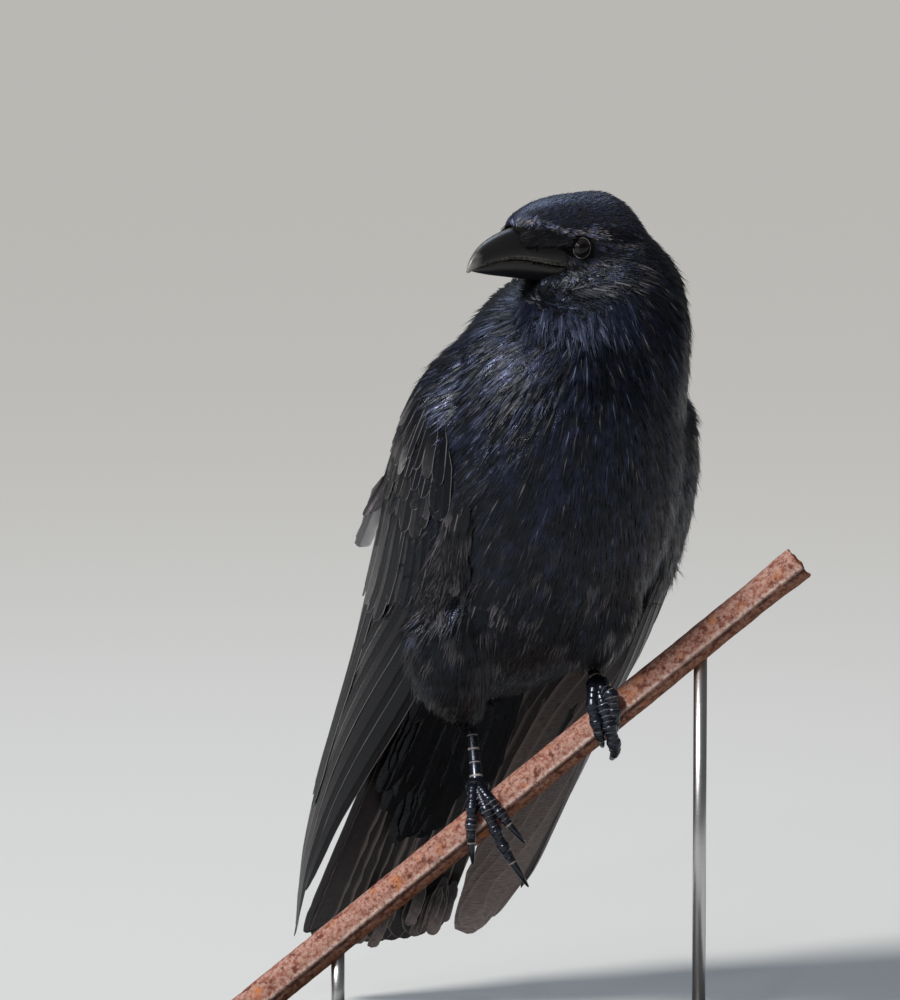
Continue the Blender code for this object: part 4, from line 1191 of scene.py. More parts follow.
# ------------------------------------------------------------------ bill
# The stout black bill: two horn mandibles with sharp cutting edges. The upper one arches down to a
# short hook over the lower. Horn of this age is scuffed pale along the ridge and at the tip.
UPPER_STATIONS = (
    # ahead, ridge, cutting edge and half-width in mm, how keeled the ridge is
    (9, 8.2, -8.3, 12.9, 0.0),
    (13, 9.0, -8.0, 12.9, 0.0),
    (17, 9.8, -7.5, 12.3, 0.05),
    (21, 9.9, -6.8, 11.3, 0.1),
    (26, 9.6, -5.9, 9.5, 0.2),
    (33, 8.3, -4.9, 7.0, 0.35),
    (41, 5.9, -5.0, 5.8, 0.4),
    (48, 2.7, -6.3, 4.3, 0.4),
    (53, -1.1, -7.9, 2.9, 0.3),
    (56.3, -5.1, -9.6, 1.6, 0.2),
    (57.8, -8.4, -10.5, 0.6, 0.1),
)
LOWER_STATIONS = (
    # ahead, cutting edge, underside and half-width in mm, how keeled the underside is
    (9, -9.2, -15.4, 12.0, 0.0),
    (14, -8.7, -15.2, 11.2, 0.05),
    (20, -7.4, -14.9, 9.3, 0.1),
    (28, -6.0, -13.9, 7.2, 0.25),
    (37, -5.4, -12.8, 5.6, 0.3),
    (45, -6.2, -11.8, 4.1, 0.25),
    (51, -7.9, -10.8, 2.4, 0.2),
    (54.8, -9.2, -10.0, 0.8, 0.1),
)
BILL_RINGS, BILL_SIDES = 46, 28


def lofted(bm, rings):
    """Bridges rings of points, all of one count, into a closed skin."""
    loops = []
    for ring in rings:
        loops.append([bm.edges.new((ring[k], ring[(k + 1) % len(ring)])) for k in range(len(ring))])
    for near, far in zip(loops, loops[1:]):
        bmesh.ops.bridge_loops(bm, edges=near + far)
    for loop in (loops[0], loops[-1]):
        bmesh.ops.contextual_create(bm, geom=loop)
    bmesh.ops.recalc_face_normals(bm, faces=bm.faces)


def made_mesh(bm, name):
    """Smooth-shaded mesh of a finished bmesh."""
    mesh = bpy.data.meshes.new(name)
    bm.to_mesh(mesh)
    bm.free()
    mesh.shade_smooth()
    return mesh


def mandible(stations, name, arched):
    """One half of the bill. Its wear attribute is 1 on the cutting edges."""
    table = np.array([(k, *row) for k, row in enumerate(stations)], float)
    bm = bmesh.new()
    rings, wear = [], []
    over = BILL_SIDES * 3 // 4
    for k in range(BILL_RINGS + 1):
        place = np.array((len(stations) - 1) * k / BILL_RINGS)
        _, ahead, high, low, across, keel = smooth_table(table, place)
        edge, peak = (low, high) if arched else (high, low)
        ring = []
        for i in range(over + 1):
            angle = math.pi * i / over
            c, s = math.cos(angle), math.sin(angle)
            # the sides bulge above the cutting edge and meet in a blunt keel
            x = across * math.copysign(abs(c) ** (0.72 + 0.5 * keel), c) * (1 - 0.06 * (1 - s) ** 3)
            ripple = 0.10 * math.sin(ahead * 2.1 + 3 * c) * (1 - s) ** 4
            spot = Vector((x, -ahead, edge + ripple + (peak - edge) * s**1.02))
            ring.append(bm.verts.new(HEAD @ (spot * MM)))
            # worn pale along the cutting edges, and a little along the ridge
            wear.append(max(float(i in (0, over)), 0.45 * arched * (abs(x) < 0.16 * across)))
        # the inner side is hollow
        for i in range(1, BILL_SIDES - over):
            x = across * (-1 + 2 * i / (BILL_SIDES - over)) * 0.94
            hollow = 0.16 * (peak - edge) * (1 - abs(x) / across)
            ring.append(bm.verts.new(HEAD @ (Vector((x, -ahead, edge + hollow)) * MM)))
            wear.append(0.0)
        rings.append(ring)
    lofted(bm, rings)
    mesh = made_mesh(bm, name)
    mesh.attributes.new("wear", "FLOAT", "POINT").data.foreach_set("value", wear)
    return mesh


def own_place(tree, axes):
    """Place in a frame that the piece is set in, from the piece's own coordinates."""
    settings = {"Vector": object_place(tree), "Location": axes.translation, "Rotation": axes.to_euler()}
    return add_node(tree, "Mapping", settings, vector_type="TEXTURE").outputs["Vector"]


HORN_BLACK, HORN_SCUFFED, HORN_CHIPPED = (0.0065, 0.0065, 0.0075), (0.22, 0.21, 0.20), (0.22, 0.20, 0.17)
WEAR_START, WEAR_END = -49 * MM, -59 * MM  # the last centimetre of the bill is scuffed
horn, tree = new_finish("horn", {})
on_head = own_place(tree, HEAD)
drawn_out = add_node(tree, "Mapping", {"Vector": on_head, "Scale": (1, 0.22, 1)}).outputs["Vector"]
horn_grain = grain(tree, drawn_out, 260, 6)
along_bill = add_node(tree, "SeparateXYZ", {"Vector": on_head}).outputs["Y"]
near_tip = spread_over(tree, along_bill, WEAR_START, WEAR_END)
scuffs = reckoned(tree, "MULTIPLY", near_tip, horn_grain)
horn_colour = colour_ramp(tree, scuffs, (0.12, HORN_BLACK), (0.62, HORN_SCUFFED))
on_edge = add_node(tree, "Attribute", {}, attribute_name="wear").outputs["Fac"]
crumbs = spread_over(tree, grain(tree, on_head, 1500, 3), 0.42, 0.62)
chipped = reckoned(tree, "MULTIPLY", on_edge, crumbs)
feed_shader(
    tree,
    Base_Color=mixed(tree, chipped, horn_colour, (*HORN_CHIPPED, 1)),
    Roughness=spread_over(tree, horn_grain, 0, 1, 0.22, 0.46),
    Normal=relief(tree, horn_grain, 0.25, 0.0003),
)
upper_mesh = mandible(UPPER_STATIONS, "upper_mandible", arched=True)
lower_mesh = mandible(LOWER_STATIONS, "lower_mandible", arched=False)
new_piece(upper_mesh, "upper_mandible", "bill", "bill_upper").data.materials.append(horn)
new_piece(lower_mesh, "lower_mandible", "bill", "bill_lower").data.materials.append(horn)

# Stiff bristles grow forward from the forehead and the lores and hide the nostrils and the root of
# the bill. They are narrow, lie flat and close, and part along the ridge.
BRISTLES, BRISTLE_HALF_WIDTH, BRISTLE_VANE = 2100, 0.34, (5, 2)
bristle_roots, bristle_headings, bristle_lengths = [], [], []
for _ in range(BRISTLES):
    side = rng.choice((-1, 1))
    # up goes round the muzzle from the horn's edge (0) to the ridge (1); row goes forward
    up = rng.random() ** 0.8
    row = rng.random()
    lean = math.radians(-4 + 96 * up)
    ahead = 5 + (22 + 3 * up) * row
    start = Vector((side * 19 * math.cos(lean), -ahead, -0.6 + 14 * math.sin(lean)))
    if math.hypot(ahead - EYE_AHEAD, start.z - EYE_RISE) < 6.8:
        continue
    front = 33.5 + 5.0 * min(1, up * 1.3)
    heading = Vector((-side * 0.1, -1, -0.24 + 0.10 * up))
    bristle_roots.append(HEAD @ (start * MM))
    bristle_headings.append(HEAD.to_3x3() @ heading)
    bristle_lengths.append(min(12.5, front - ahead) * rng.uniform(0.8, 1.08) * MM)
bristle_roots, bristle_headings = np.array(bristle_roots), np.array(bristle_headings)
bristle_lengths = np.array(bristle_lengths)
cover_bm = bmesh.new()
for mesh in (skin.data, upper_mesh, lower_mesh):
    cover_bm.from_mesh(mesh)
face_ground = Ground(made_mesh(cover_bm, "face_and_bill"))
# they stop below the pale line of the brow
_, y, z = in_frame(HEAD, face_ground.settle(bristle_roots)[0]).T
below_brow = z < np.interp(-y, *np.array(BROW).T) - 1.2
bristle_roots, bristle_headings = bristle_roots[below_brow], bristle_headings[below_brow]
bristle_lengths = bristle_lengths[below_brow]
bristle_count = len(bristle_roots)
points, place, share = vanes_on(
    face_ground,
    bristle_roots,
    bristle_headings,
    bristle_lengths,
    np.full(bristle_count, BRISTLE_HALF_WIDTH * MM),
    rng.uniform(0.4, 0.8, bristle_count) * MM,
    rng.uniform(0.4, 1.2, bristle_count) * MM,
    camber=0.5,
    barb=0.3,
    shape=np.full(bristle_count, 0.6),
    size=BRISTLE_VANE,
)
bristle_worn = rng.uniform(0, 0.1, bristle_count)
bristle_tint = np.stack([bristle_worn, np.zeros(bristle_count), 0.75 * rng.random(bristle_count)], 1)
faces = vane_template(*BRISTLE_VANE, loose=True)
patches = tuft_patches(bristle_roots, share)
bristles = vane_mesh("nasal_bristles", faces, points, place, share, patches, bristle_tint)
new_piece(bristles, "nasal_bristles", "plumage").data.materials.append(plumage_black)

# ------------------------------------------------------------------ eyes
# Dark brown eyes set a little into the face: an iris with its pupil under a clear domed cornea,
# inside two thin rings of bare grey lid skin, each a row of small beads.
EYE_RADIUS, EYE_FLATNESS, EYE_TURN = 4.8, 0.95, math.radians(14)
PUPIL, IRIS_INNER, IRIS_OUTER = (0.002, 0.002, 0.002), (0.007, 0.006, 0.006), (0.014, 0.0125, 0.012)
PUPIL_RIM, IRIS_RIM = (0.001, 0.001, 0.001), (0.006, 0.005, 0.005)
IRIS_REACH = 5.0 * MM
LID_DARK, LID_LIGHT = (0.05, 0.05, 0.052), (0.24, 0.23, 0.22)
# each lid: radius and height of its ring, thickness, and how many beads it has
LIDS = ((4.25, 2.15, 0.22, 44), (4.9, 1.75, 0.34, 36))
LID_BORDER, BEAD_HEIGHT, LID_SIDES = 4.6 * MM, 0.10 * MM, 8
lid_skin, tree = new_finish("lid_skin", {"Roughness": 0.45})
lid_grain = grain(tree, object_place(tree), 1500)
feed_shader(tree, Base_Color=colour_ramp(tree, lid_grain, (0.35, LID_DARK), (0.7, LID_LIGHT)))
for side, word in ((1, "left"), (-1, "right")):
    eye_centre = Vector((side * EYE_OUT, -EYE_AHEAD, EYE_RISE))
    looking = Matrix.Rotation(-side * EYE_TURN, 4, "Z") @ Matrix.Rotation(side * math.pi / 2, 4, "Y")
    eye_axes = HEAD @ Matrix.Translation(eye_centre * MM) @ looking
    eye_bm = bmesh.new()
    flattened = eye_axes @ Matrix.Diagonal((1, 1, EYE_FLATNESS, 1))
    bmesh.ops.create_uvsphere(
        eye_bm, u_segments=48, v_segments=32, radius=EYE_RADIUS * MM, matrix=flattened
    )
    eye_gloss = {
        "Roughness": 0.12,
        "Specular IOR Level": 0.1,
        "Coat Weight": 0.32,
        "Coat Roughness": 0.02,
    }
    eye_glass, tree = new_finish(f"{word}_eye_glass", eye_gloss)
    settings = {0: own_place(tree, eye_axes), 1: (1, 1, 0)}
    flat = add_node(tree, "VectorMath", settings, operation="MULTIPLY").outputs["Vector"]
    off_middle = add_node(tree, "VectorMath", {0: flat}, operation="LENGTH").outputs["Value"]
    eye_colour = colour_ramp(
        tree,
        reckoned(tree, "MULTIPLY", off_middle, 1 / IRIS_REACH),
        (0, PUPIL),
        (1, IRIS_RIM),
        (0.40, PUPIL_RIM),
        (0.46, IRIS_INNER),
        (0.78, IRIS_OUTER),
    )
    feed_shader(tree, Base_Color=eye_colour)
    eye = new_piece(made_mesh(eye_bm, f"{word}_eyeball"), f"{word}_eyeball", "eyes", f"eye_{word}")
    eye.data.materials.append(eye_glass)

    lid_bm = bmesh.new()
    for ring_radius, level, thick, beads in LIDS:
        on_ring = Matrix.Translation((ring_radius * MM, 0, level * MM))
        upright = on_ring @ Matrix.Rotation(math.pi / 2, 4, "X")
        bmesh.ops.create_circle(lid_bm, segments=LID_SIDES, radius=thick * MM, matrix=upright)
        bmesh.ops.spin(
            lid_bm,
            geom=lid_bm.edges[-LID_SIDES:],
            cent=(0, 0, 0),
            axis=(0, 0, 1),
            angle=2 * math.pi,
            steps=beads * 3,
            use_merge=True,
            use_duplicate=False,
        )
    bmesh.ops.remove_doubles(lid_bm, verts=lid_bm.verts, dist=1e-6)
    for vert in lid_bm.verts:
        inner = math.hypot(vert.co.x, vert.co.y) < LID_BORDER
        about = math.atan2(vert.co.y, vert.co.x)
        beads = LIDS[0][3] if inner else LIDS[1][3]
        vert.co.z += BEAD_HEIGHT * abs(math.sin(about * beads / 2))
        # the rings are slightly longer than they are high
        vert.co.x *= 1.06
        vert.co.y *= 1.0 if inner else 0.96
    bmesh.ops.recalc_face_normals(lid_bm, faces=lid_bm.faces)
    bmesh.ops.transform(lid_bm, matrix=eye_axes, verts=lid_bm.verts)
    lids = new_piece(made_mesh(lid_bm, f"{word}_lids"), f"{word}_lids", "leg_skin")
    lids.data.materials.append(lid_skin)

# ------------------------------------------------------------------ legs and claws
# Bare legs and toes in hard, glossy blue-black scutes that overlap like rings, over rough pads. Each
# scute's upper edge is painted pale, partly as wear and partly as a highlight. Each toe ends in a curved
# claw that grows out of a pale-edged sheath.
RIGHT_FOOT = {
    "stout": 0.95,
    "palm": (-30.5, 2.5, -8.5),
    "hock": (-36, 27, 46),
    "toes": {
        # (length, drop, swing) of each bone from the palm out; the last is the claw
        "inner": ((8, 15, -62), (8, 62, -4), (8, 84, -3), (7, 92, 0), (12.5, 96, 4)),
        "middle": ((8, 15, 24), (10, 52, 26), (10, 80, 24), (8, 88, 26), (7, 90, 30), (16, 96, 32)),
        "outer": ((8, 15, 70), (7, 50, 44), (7, 76, 40), (6, 86, 38), (13.5, 92, 40)),
        "hind": ((8, 165, 20), (9, 132, 34), (6, 100, 40), (12, 62, 44)),
    },
}
LEFT_FOOT = {
    "stout": 1.12,
    "palm": (23.5, 3.0, 37.0),
    "hock": (9, 43, 73),
    "toes": {
        "inner": ((8, 14, -72), (8, 52, -6), (8, 82, 12), (7, 102, 14), (11, 136, 12)),
        "middle": ((7, 10, 14), (10, 46, 18), (9, 80, 16), (8, 104, 14), (6, 128, 8), (12, 150, -20)),
        "outer": ((8, 12, 76), (7, 40, 60), (8, 84, 8), (7, 112, 4), (10, 146, 0)),
        "hind": ((8, 165, 20), (9, 128, 24), (6, 96, 20), (12, 58, 14)),
    },
}
PERCH_AXIS = Vector((math.cos(math.radians(39.5)), 0, math.sin(math.radians(39.5))))
TOE_RADIUS, TOE_TIP_RADIUS = 2.75, 2.25
TOE_SCUTE, TARSUS_SCUTE = 2.3, 6.3  # how long a scute is
CLAW_RADIUS, CLAW_BEND, CLAW_STEPS = 2.15, math.radians(58), 8
CLAW_SUNK = 2.0  # how far a claw's root lies inside its toe
KNUCKLE_HEIGHT, KNUCKLE_REACH, SCUTE_WEAR_AND_GLINT = 0.75, 1.9, 0.8
SHANK_RADIUS, PALM_SIZE = 2.75, (5.6, 5.0, 4.4)


def toe_direction(drop, swing):
    """Forwards at a drop of 0, down at 90, back under the perch past it; swing turns it to +X."""
    drop, swing = math.radians(drop), math.radians(swing)
    down = Vector((math.sin(swing), 0, -math.cos(swing)))
    return Vector((0, -1, 0)) * math.cos(drop) + down * math.sin(drop)


def even_line(points, step):
    """Points evenly spaced along a smooth line through the given ones, and how far along each is."""
    table = np.array([(k, *p) for k, p in enumerate(points)], float)
    fine = smooth_table(table, np.linspace(0, len(points) - 1, 40 * len(points)))[:, 1:]
    gone = np.concatenate([[0], np.cumsum(np.linalg.norm(np.diff(fine, axis=0), axis=1))])
    at = np.linspace(0, gone[-1], max(3, round(gone[-1] / step) + 1))
    return np.stack([np.interp(at, gone, fine[:, k]) for k in range(3)], 1), at / MM


def limb(line, at, radius_at, top_of, sides=16):
    """Tube of rings along a line. radius_at takes the place and the angle from the top of a ring, and
    gives the radius there and how pale it is: wear, which on the scutes is partly a painted highlight."""
    bm = bmesh.new()
    layer = bm.verts.layers.float_color.new("tint")
    rings = []
    for k, point in enumerate(line):
        along = Vector(line[min(k + 1, len(line) - 1)] - line[max(k - 1, 0)]).normalized()
        top = top_of(Vector(point))
        top = (top - along * top.dot(along)).normalized()
        side = along.cross(top)
        ring = []
        for i in range(sides):
            angle = 2 * math.pi * i / sides
            radius, worn = radius_at(at[k], angle)
            out = top * math.cos(angle) + side * math.sin(angle)
            vert = bm.verts.new(Vector(point) + out * radius * MM)
            vert[layer] = (worn, 0, 0, 1)
            ring.append(vert)
        rings.append(ring)
    lofted(bm, rings)
    return bm


def off_perch(point):
    """Straight out from the perch at a point: the upper side of a toe that clasps it."""
    away = point - GRIP
    return away - PERCH_AXIS * away.dot(PERCH_AXIS)


def scuted(base, joints, length, scute, pad, step_height, end_taper=0.0):
    """Radius of a toe: scutes step down over its top, pads swell beneath, knuckles swell at joints."""

    def radius_at(at, angle):
        share = at / length
        top, below = max(0.0, math.cos(angle) + 0.35) / 1.35, max(0.0, -math.cos(angle))
        phase = (at / scute) % 1.0
        step = step_height * (1 - phase) ** 1.6 * (1 if phase > 0.08 else 0.1)
        knuckles = [math.exp(-(((at - joint) / KNUCKLE_REACH) ** 2)) for joint in joints]
        knuckle = sum(KNUCKLE_HEIGHT * swelling for swelling in knuckles)
        under = pad * (0.5 + 0.5 * math.cos(2 * math.pi * at / (length / max(1, len(joints))))) * below
        rough = 0.08 * math.sin(at * 5.1) * math.sin(angle * 5) * below
        radius = base(share) + top * step + knuckle + under + rough - 0.12
        patchy_edge = 0.55 + 0.45 * math.sin(at * 2.7) if scute < 4 else 1.0
        # pale on the upper side of each scute's edge: wear, and partly a painted highlight
        worn = (SCUTE_WEAR_AND_GLINT if phase < 0.12 else 0.0) * min(1, top * 1.5) * patchy_edge
        return radius * (1 - end_taper * max(0, share - 0.94) / 0.06), worn

    return radius_at


def joined(bms, name):
    """One mesh of several closed parts that run into one another."""
    whole = bmesh.new()
    for bm in bms:
        part = made_mesh(bm, "part")
        whole.from_mesh(part)
        bpy.data.meshes.remove(part)
    return made_mesh(whole, name)


def worn_black_group():
    """Finish of hard black skin or horn, pale where its tint map says: worn edges, which on the scutes are
    partly a painted highlight.
    """
    group, given, made = new_group(
        "worn_black",
        {"Plain": "Color", "Worn": "Color", "Roughness": "Float", "Scale": "Float"},
        {"Color": "Color", "Roughness": "Float", "Grain": "Float"},
    )
    scuffs = grain(group, object_place(group), given["Scale"], 4)
    worn, _, _ = tint_map(group)
    share = spread_over(group, reckoned(group, "MULTIPLY", worn, scuffs), 0.08, 0.55)
    smoothest = reckoned(group, "ADD", given["Roughness"], -0.08)
    roughest = reckoned(group, "ADD", given["Roughness"], 0.12)
    group.links.new(mixed(group, share, given["Plain"], given["Worn"]), made["Color"])
    group.links.new(spread_over(group, scuffs, 0, 1, smoothest, roughest), made["Roughness"])
    group.links.new(scuffs, made["Grain"])
    return group


WORN_BLACK = worn_black_group()


def worn_black_material(name, plain, worn, roughness, scale, strength):
    material, tree = new_finish(name, {"Specular Tint": (0.75, 0.83, 1.0, 1)})
    values = {"Plain": (*plain, 1), "Worn": (*worn, 1), "Roughness": roughness, "Scale": scale}
    made = placed_group(tree, WORN_BLACK, values)
    normal = relief(tree, made["Grain"], strength, 0.0002)
    feed_shader(tree, Base_Color=made["Color"], Roughness=made["Roughness"], Normal=normal)
    return material


leg_black = worn_black_material("leg_black", (0.0040, 0.0046, 0.0085), (0.34, 0.32, 0.31), 0.24, 900, 0.25)
claw_horn = worn_black_material("claw_horn", (0.005, 0.005, 0.007), (0.30, 0.28, 0.25), 0.16, 700, 0.15)
for word, foot in (("right", RIGHT_FOOT), ("left", LEFT_FOOT)):
    palm, hock = GRIP + Vector(foot["palm"]) * MM, GRIP + Vector(foot["hock"]) * MM
    toes, stout = [], foot["stout"]

    def toe_base(share, stout=stout):
        taper = (TOE_TIP_RADIUS - TOE_RADIUS) * share
        return stout * (TOE_RADIUS + taper + 0.35 * math.exp(-share * 6))

    for toe, bones in foot["toes"].items():
        joints, gone = [palm], [0.0]
        *phalanges, (claw_length, claw_drop, claw_swing) = bones
        for length, drop, swing in phalanges:
            joints.append(joints[-1] + toe_direction(drop, swing) * length * MM)
            gone.append(gone[-1] + length)
        line, at = even_line(joints, 0.38 * MM)
        toe_radius = scuted(toe_base, gone[1:], at[-1], TOE_SCUTE, 0.5, 0.42, 0.5)
        toes.append(limb(line, at, toe_radius, off_perch))
        direction = toe_direction(claw_drop, claw_swing)
        sweep = toe_direction(20 if toe == "hind" else 170, 0)
        hook = (sweep - direction * sweep.dot(direction)).normalized()
        total = claw_length + CLAW_SUNK
        spot, curve = joints[-1] - direction * CLAW_SUNK * MM, []
        for k in range(CLAW_STEPS + 1):
            curve.append(spot)
            bend = CLAW_BEND * (k / CLAW_STEPS - 0.3)
            spot = spot + (direction * math.cos(bend) + hook * math.sin(bend)) * total / CLAW_STEPS * MM
        claw_line, claw_at = even_line(curve, 0.45 * MM)

        def claw_radius(place, angle, total=total):
            share = place / total
            sheath = 0.28 * math.exp(-(((place - 2.4) / 0.8) ** 2))
            flat = 1 - 0.16 * math.sin(angle) ** 2
            radius = CLAW_RADIUS * max(0.0, 1 - share) ** 0.58 * flat + 0.13 + sheath
            return radius, max(0, 1 - abs(place - 2.8) / 0.5) + 0.5 * max(0, share - 0.8) / 0.2

        claw_bm = limb(claw_line, claw_at, claw_radius, lambda p, h=hook: -h, 14)
        claw_mesh = made_mesh(claw_bm, f"{word}_{toe}_claw")
        claw = new_piece(claw_mesh, f"{word}_{toe}_claw", "claws", f"claw_{word}_{toe}")
        claw.data.materials.append(claw_horn)
    up = (hock - palm).normalized()
    shank_ends = [palm - up * 2.5 * MM, palm.lerp(hock, 0.5), hock + up * 6 * MM]
    shank_line, shank_at = even_line(shank_ends, 0.5 * MM)

    def shank_base(share):
        foot_end = 1.15 * math.exp(-((share / 0.10) ** 2))
        hock_end = 0.95 * math.exp(-(((share - 0.93) / 0.08) ** 2))
        return SHANK_RADIUS + foot_end + hock_end

    shank_radius = scuted(shank_base, [0.0], shank_at[-1], TARSUS_SCUTE, 0.2, 0.2)
    toes.append(limb(shank_line, shank_at, shank_radius, lambda p: Vector((0, -1, 0.1)), 18))
    ball = bmesh.new()
    ball_layer = ball.verts.layers.float_color.new("tint")
    swell = Matrix.Translation(palm) @ Matrix.Diagonal((*PALM_SIZE, 1))
    bmesh.ops.create_icosphere(ball, subdivisions=3, radius=MM, matrix=swell)
    for vert in ball.verts:
        vert[ball_layer] = (0, 0, 0, 1)
    toes.append(ball)
    leg_mesh = joined(toes, f"{word}_leg")
    leg = new_piece(leg_mesh, f"{word}_leg", "leg_skin", f"foot_{word}", f"tarsus_{word}")
    leg.data.materials.append(leg_black)

# ------------------------------------------------------------------ perch
# A cut length of rusty steel tube with a raised seam along its front. Its rust is painted lighter and
# pinker on the upper side, towards the lamps, as lit, and darker orange-brown beneath as shaded, with dark
# pits all over; its free end is battered.
PERCH_UP, PERCH_DOWN = 146, 179  # from the grip to the free end and to the cut end
PERCH_RADIUS_TOP, PERCH_RADIUS_BOTTOM, PERCH_FLARE, PERCH_WALL = 7.2, 7.9, 0.8, 1.6
PERCH_RINGS, PERCH_SIDES, FLARE_START = 300, 84, 0.92
SEAM_ANGLE, SEAM_WIDTH, SEAM_HEIGHT = math.radians(-82), math.radians(8), 0.55
DENT_HEIGHT, RIPPLE_HEIGHT, PIT_DEPTH, GROOVE_DEPTH = 0.22, 0.10, 0.55, 0.28
LIT_SIDE_ANGLE = math.radians(135)
BACK = Vector((0, 1, 0))
across = PERCH_AXIS.cross(BACK)
perch_bm = bmesh.new()
perch_layer = perch_bm.verts.layers.float_color.new("tint")
rings = []
for k in range(-4, PERCH_RINGS + 5):
    share = min(max(k / PERCH_RINGS, 0), 1)
    radius = PERCH_RADIUS_BOTTOM + (PERCH_RADIUS_TOP - PERCH_RADIUS_BOTTOM) * share
    radius += PERCH_FLARE * max(0.0, share - FLARE_START) / 0.08
    # past either end the wall turns in and runs a little way back down the bore
    turned = max(-k, k - PERCH_RINGS, 0)
    ring = []
    for i in range(PERCH_SIDES):
        angle = 2 * math.pi * i / PERCH_SIDES
        around = Vector((math.cos(angle), math.sin(angle), 0))
        away = math.atan2(math.sin(angle - SEAM_ANGLE), math.cos(angle - SEAM_ANGLE)) / SEAM_WIDTH
        along = -PERCH_DOWN + (PERCH_UP + PERCH_DOWN) * share
        spot = around * 6 + Vector((0, 0, along))
        dent = DENT_HEIGHT * noise.noise(spot * 0.09) + RIPPLE_HEIGHT * noise.noise(spot * 0.35)
        pit = max(0.0, noise.noise(spot * 0.75 + Vector((9, 0, 0))) - 0.30) * PIT_DEPTH
        groove = GROOVE_DEPTH * math.exp(-(((away - 2.0) / 0.7) ** 2))
        seam = SEAM_HEIGHT * math.exp(-away * away) - groove
        r = radius + dent - pit + seam * (1 + 0.3 * noise.noise(spot * 0.5))
        chip = 0.0
        if k >= PERCH_RINGS:
            chip = 0.9 * noise.noise(around * 2.3 + Vector((4, 0, 0))) - 0.5 * abs(noise.noise(around * 7))
        if turned:
            r = (r - 0.35, radius - 0.9, radius - PERCH_WALL, radius - PERCH_WALL)[turned - 1]
            inward = (-0.25, -0.1, 0.8, 14.0)[turned - 1]
            along += -inward if k > PERCH_RINGS else inward
        out = -across * math.cos(angle) + BACK * math.sin(angle)
        vert = perch_bm.verts.new(GRIP + (PERCH_AXIS * (along + chip) + out * r) * MM)
        # the tint map holds the side painted as lit, the painted shade in the groove below the seam, and
        # the seam
        painted_lit_share = 0.5 + 0.5 * math.cos(angle + LIT_SIDE_ANGLE)
        # a dark line is painted in the groove just below the seam, as its shade
        groove_shade_share = math.exp(-(((away - 1.9) / 0.8) ** 2))
        vert[perch_layer] = (painted_lit_share, groove_shade_share, max(0, 1 - abs(away) / 1.3), 1)
        ring.append(vert)
    rings.append(ring)
lofted(perch_bm, rings)
perch_mesh = made_mesh(perch_bm, "rusty_perch")
PINK_DARK, PINK_LIGHT = (0.17, 0.050, 0.030, 1), (0.33, 0.20, 0.165, 1)
BROWN_DARK, BROWN_LIGHT = (0.075, 0.019, 0.010, 1), (0.27, 0.105, 0.042, 1)
ORANGE, PIT_DARK = (0.34, 0.12, 0.040, 1), (0.10, 0.028, 0.018, 1)
SEAM_HIGHLIGHT_PALE, GROOVE_SHADE_DARK = (0.52, 0.42, 0.38, 1), (0.035, 0.016, 0.012, 1)
RUST_ROUGHNESS = 0.6
rusty, tree = new_finish("rusty_tube", {"Specular IOR Level": 0.2})
on_tube = object_place(tree)
painted_lit_share, groove_shade_share, on_seam = tint_map(tree)
patches = grain(tree, on_tube, 110, 5, RUST_ROUGHNESS)
specks = grain(tree, on_tube, 520, 6, 0.75)
pits = grain(tree, on_tube, 230, 3, RUST_ROUGHNESS)
pink = mixed(tree, spread_over(tree, specks, 0.40, 0.57), PINK_DARK, PINK_LIGHT)
brown = mixed(tree, spread_over(tree, specks, 0.40, 0.58), BROWN_DARK, BROWN_LIGHT)
# the side towards the lamps is painted pinker and lighter as lit, the underside browner and darker as
# shaded
lit_upper_side = reckoned(tree, "ADD", reckoned(tree, "MULTIPLY", patches, 0.9), painted_lit_share)
rust = mixed(tree, spread_over(tree, lit_upper_side, 0.75, 1.25), brown, pink)
rust = mixed(tree, spread_over(tree, patches, 0.57, 0.74), rust, ORANGE)
rust = mixed(tree, spread_over(tree, pits, 0.56, 0.66), rust, PIT_DARK)
# a speckled pale line is painted along the raised seam, as its highlight
seam_highlight = reckoned(tree, "MULTIPLY", on_seam, spread_over(tree, specks, 0.35, 0.6))
rust = mixed(tree, seam_highlight, rust, SEAM_HIGHLIGHT_PALE)
# painted shade in the groove below the seam
painted_groove_shade = reckoned(tree, "MULTIPLY", groove_shade_share, spread_over(tree, patches, 0.40, 0.58))
rust = mixed(tree, painted_groove_shade, rust, GROOVE_SHADE_DARK)
feed_shader(
    tree,
    Base_Color=rust,
    Roughness=spread_over(tree, specks, 0, 1, 0.55, 0.9),
    Normal=relief(tree, specks, 0.8, 0.0005),
)
new_piece(perch_mesh, "rusty_perch", "rusty_steel", "perch").data.materials.append(rusty)

# ------------------------------------------------------------------ stand
# A plain display stand: a flat painted steel base with rounded corners and two bright steel rods in
# collars, which hold the tube from below.
BASE_WIDTH, BASE_DEPTH, BASE_HEIGHT, BASE_CORNER = 0.240, 0.160, 0.010, 0.012
ROD_PLACES = (("short", -0.078), ("long", 0.084))
ROD_RADIUS, COLLAR_RADIUS, COLLAR_TOP_RADIUS, COLLAR_HEIGHT = 3.0 * MM, 7.0 * MM, 5.6 * MM, 6.0 * MM
ROD_END, COLLAR_GAP = 6.0 * MM, 0.3 * MM  # below the tube's axis, and over the base


def level_edges(bm):
    """Edges between a level face and an upright one."""
    level = [e for e in bm.edges if abs(e.verts[0].co.z - e.verts[1].co.z) < 1e-6]
    return [e for e in level if {abs(f.normal.z) > 0.99 for f in e.link_faces} == {True, False}]


def rounded(bm, edges, radius, segments):
    bmesh.ops.bevel(
        bm, geom=edges, offset=radius, segments=segments, affect="EDGES", profile=0.5, material=-1
    )


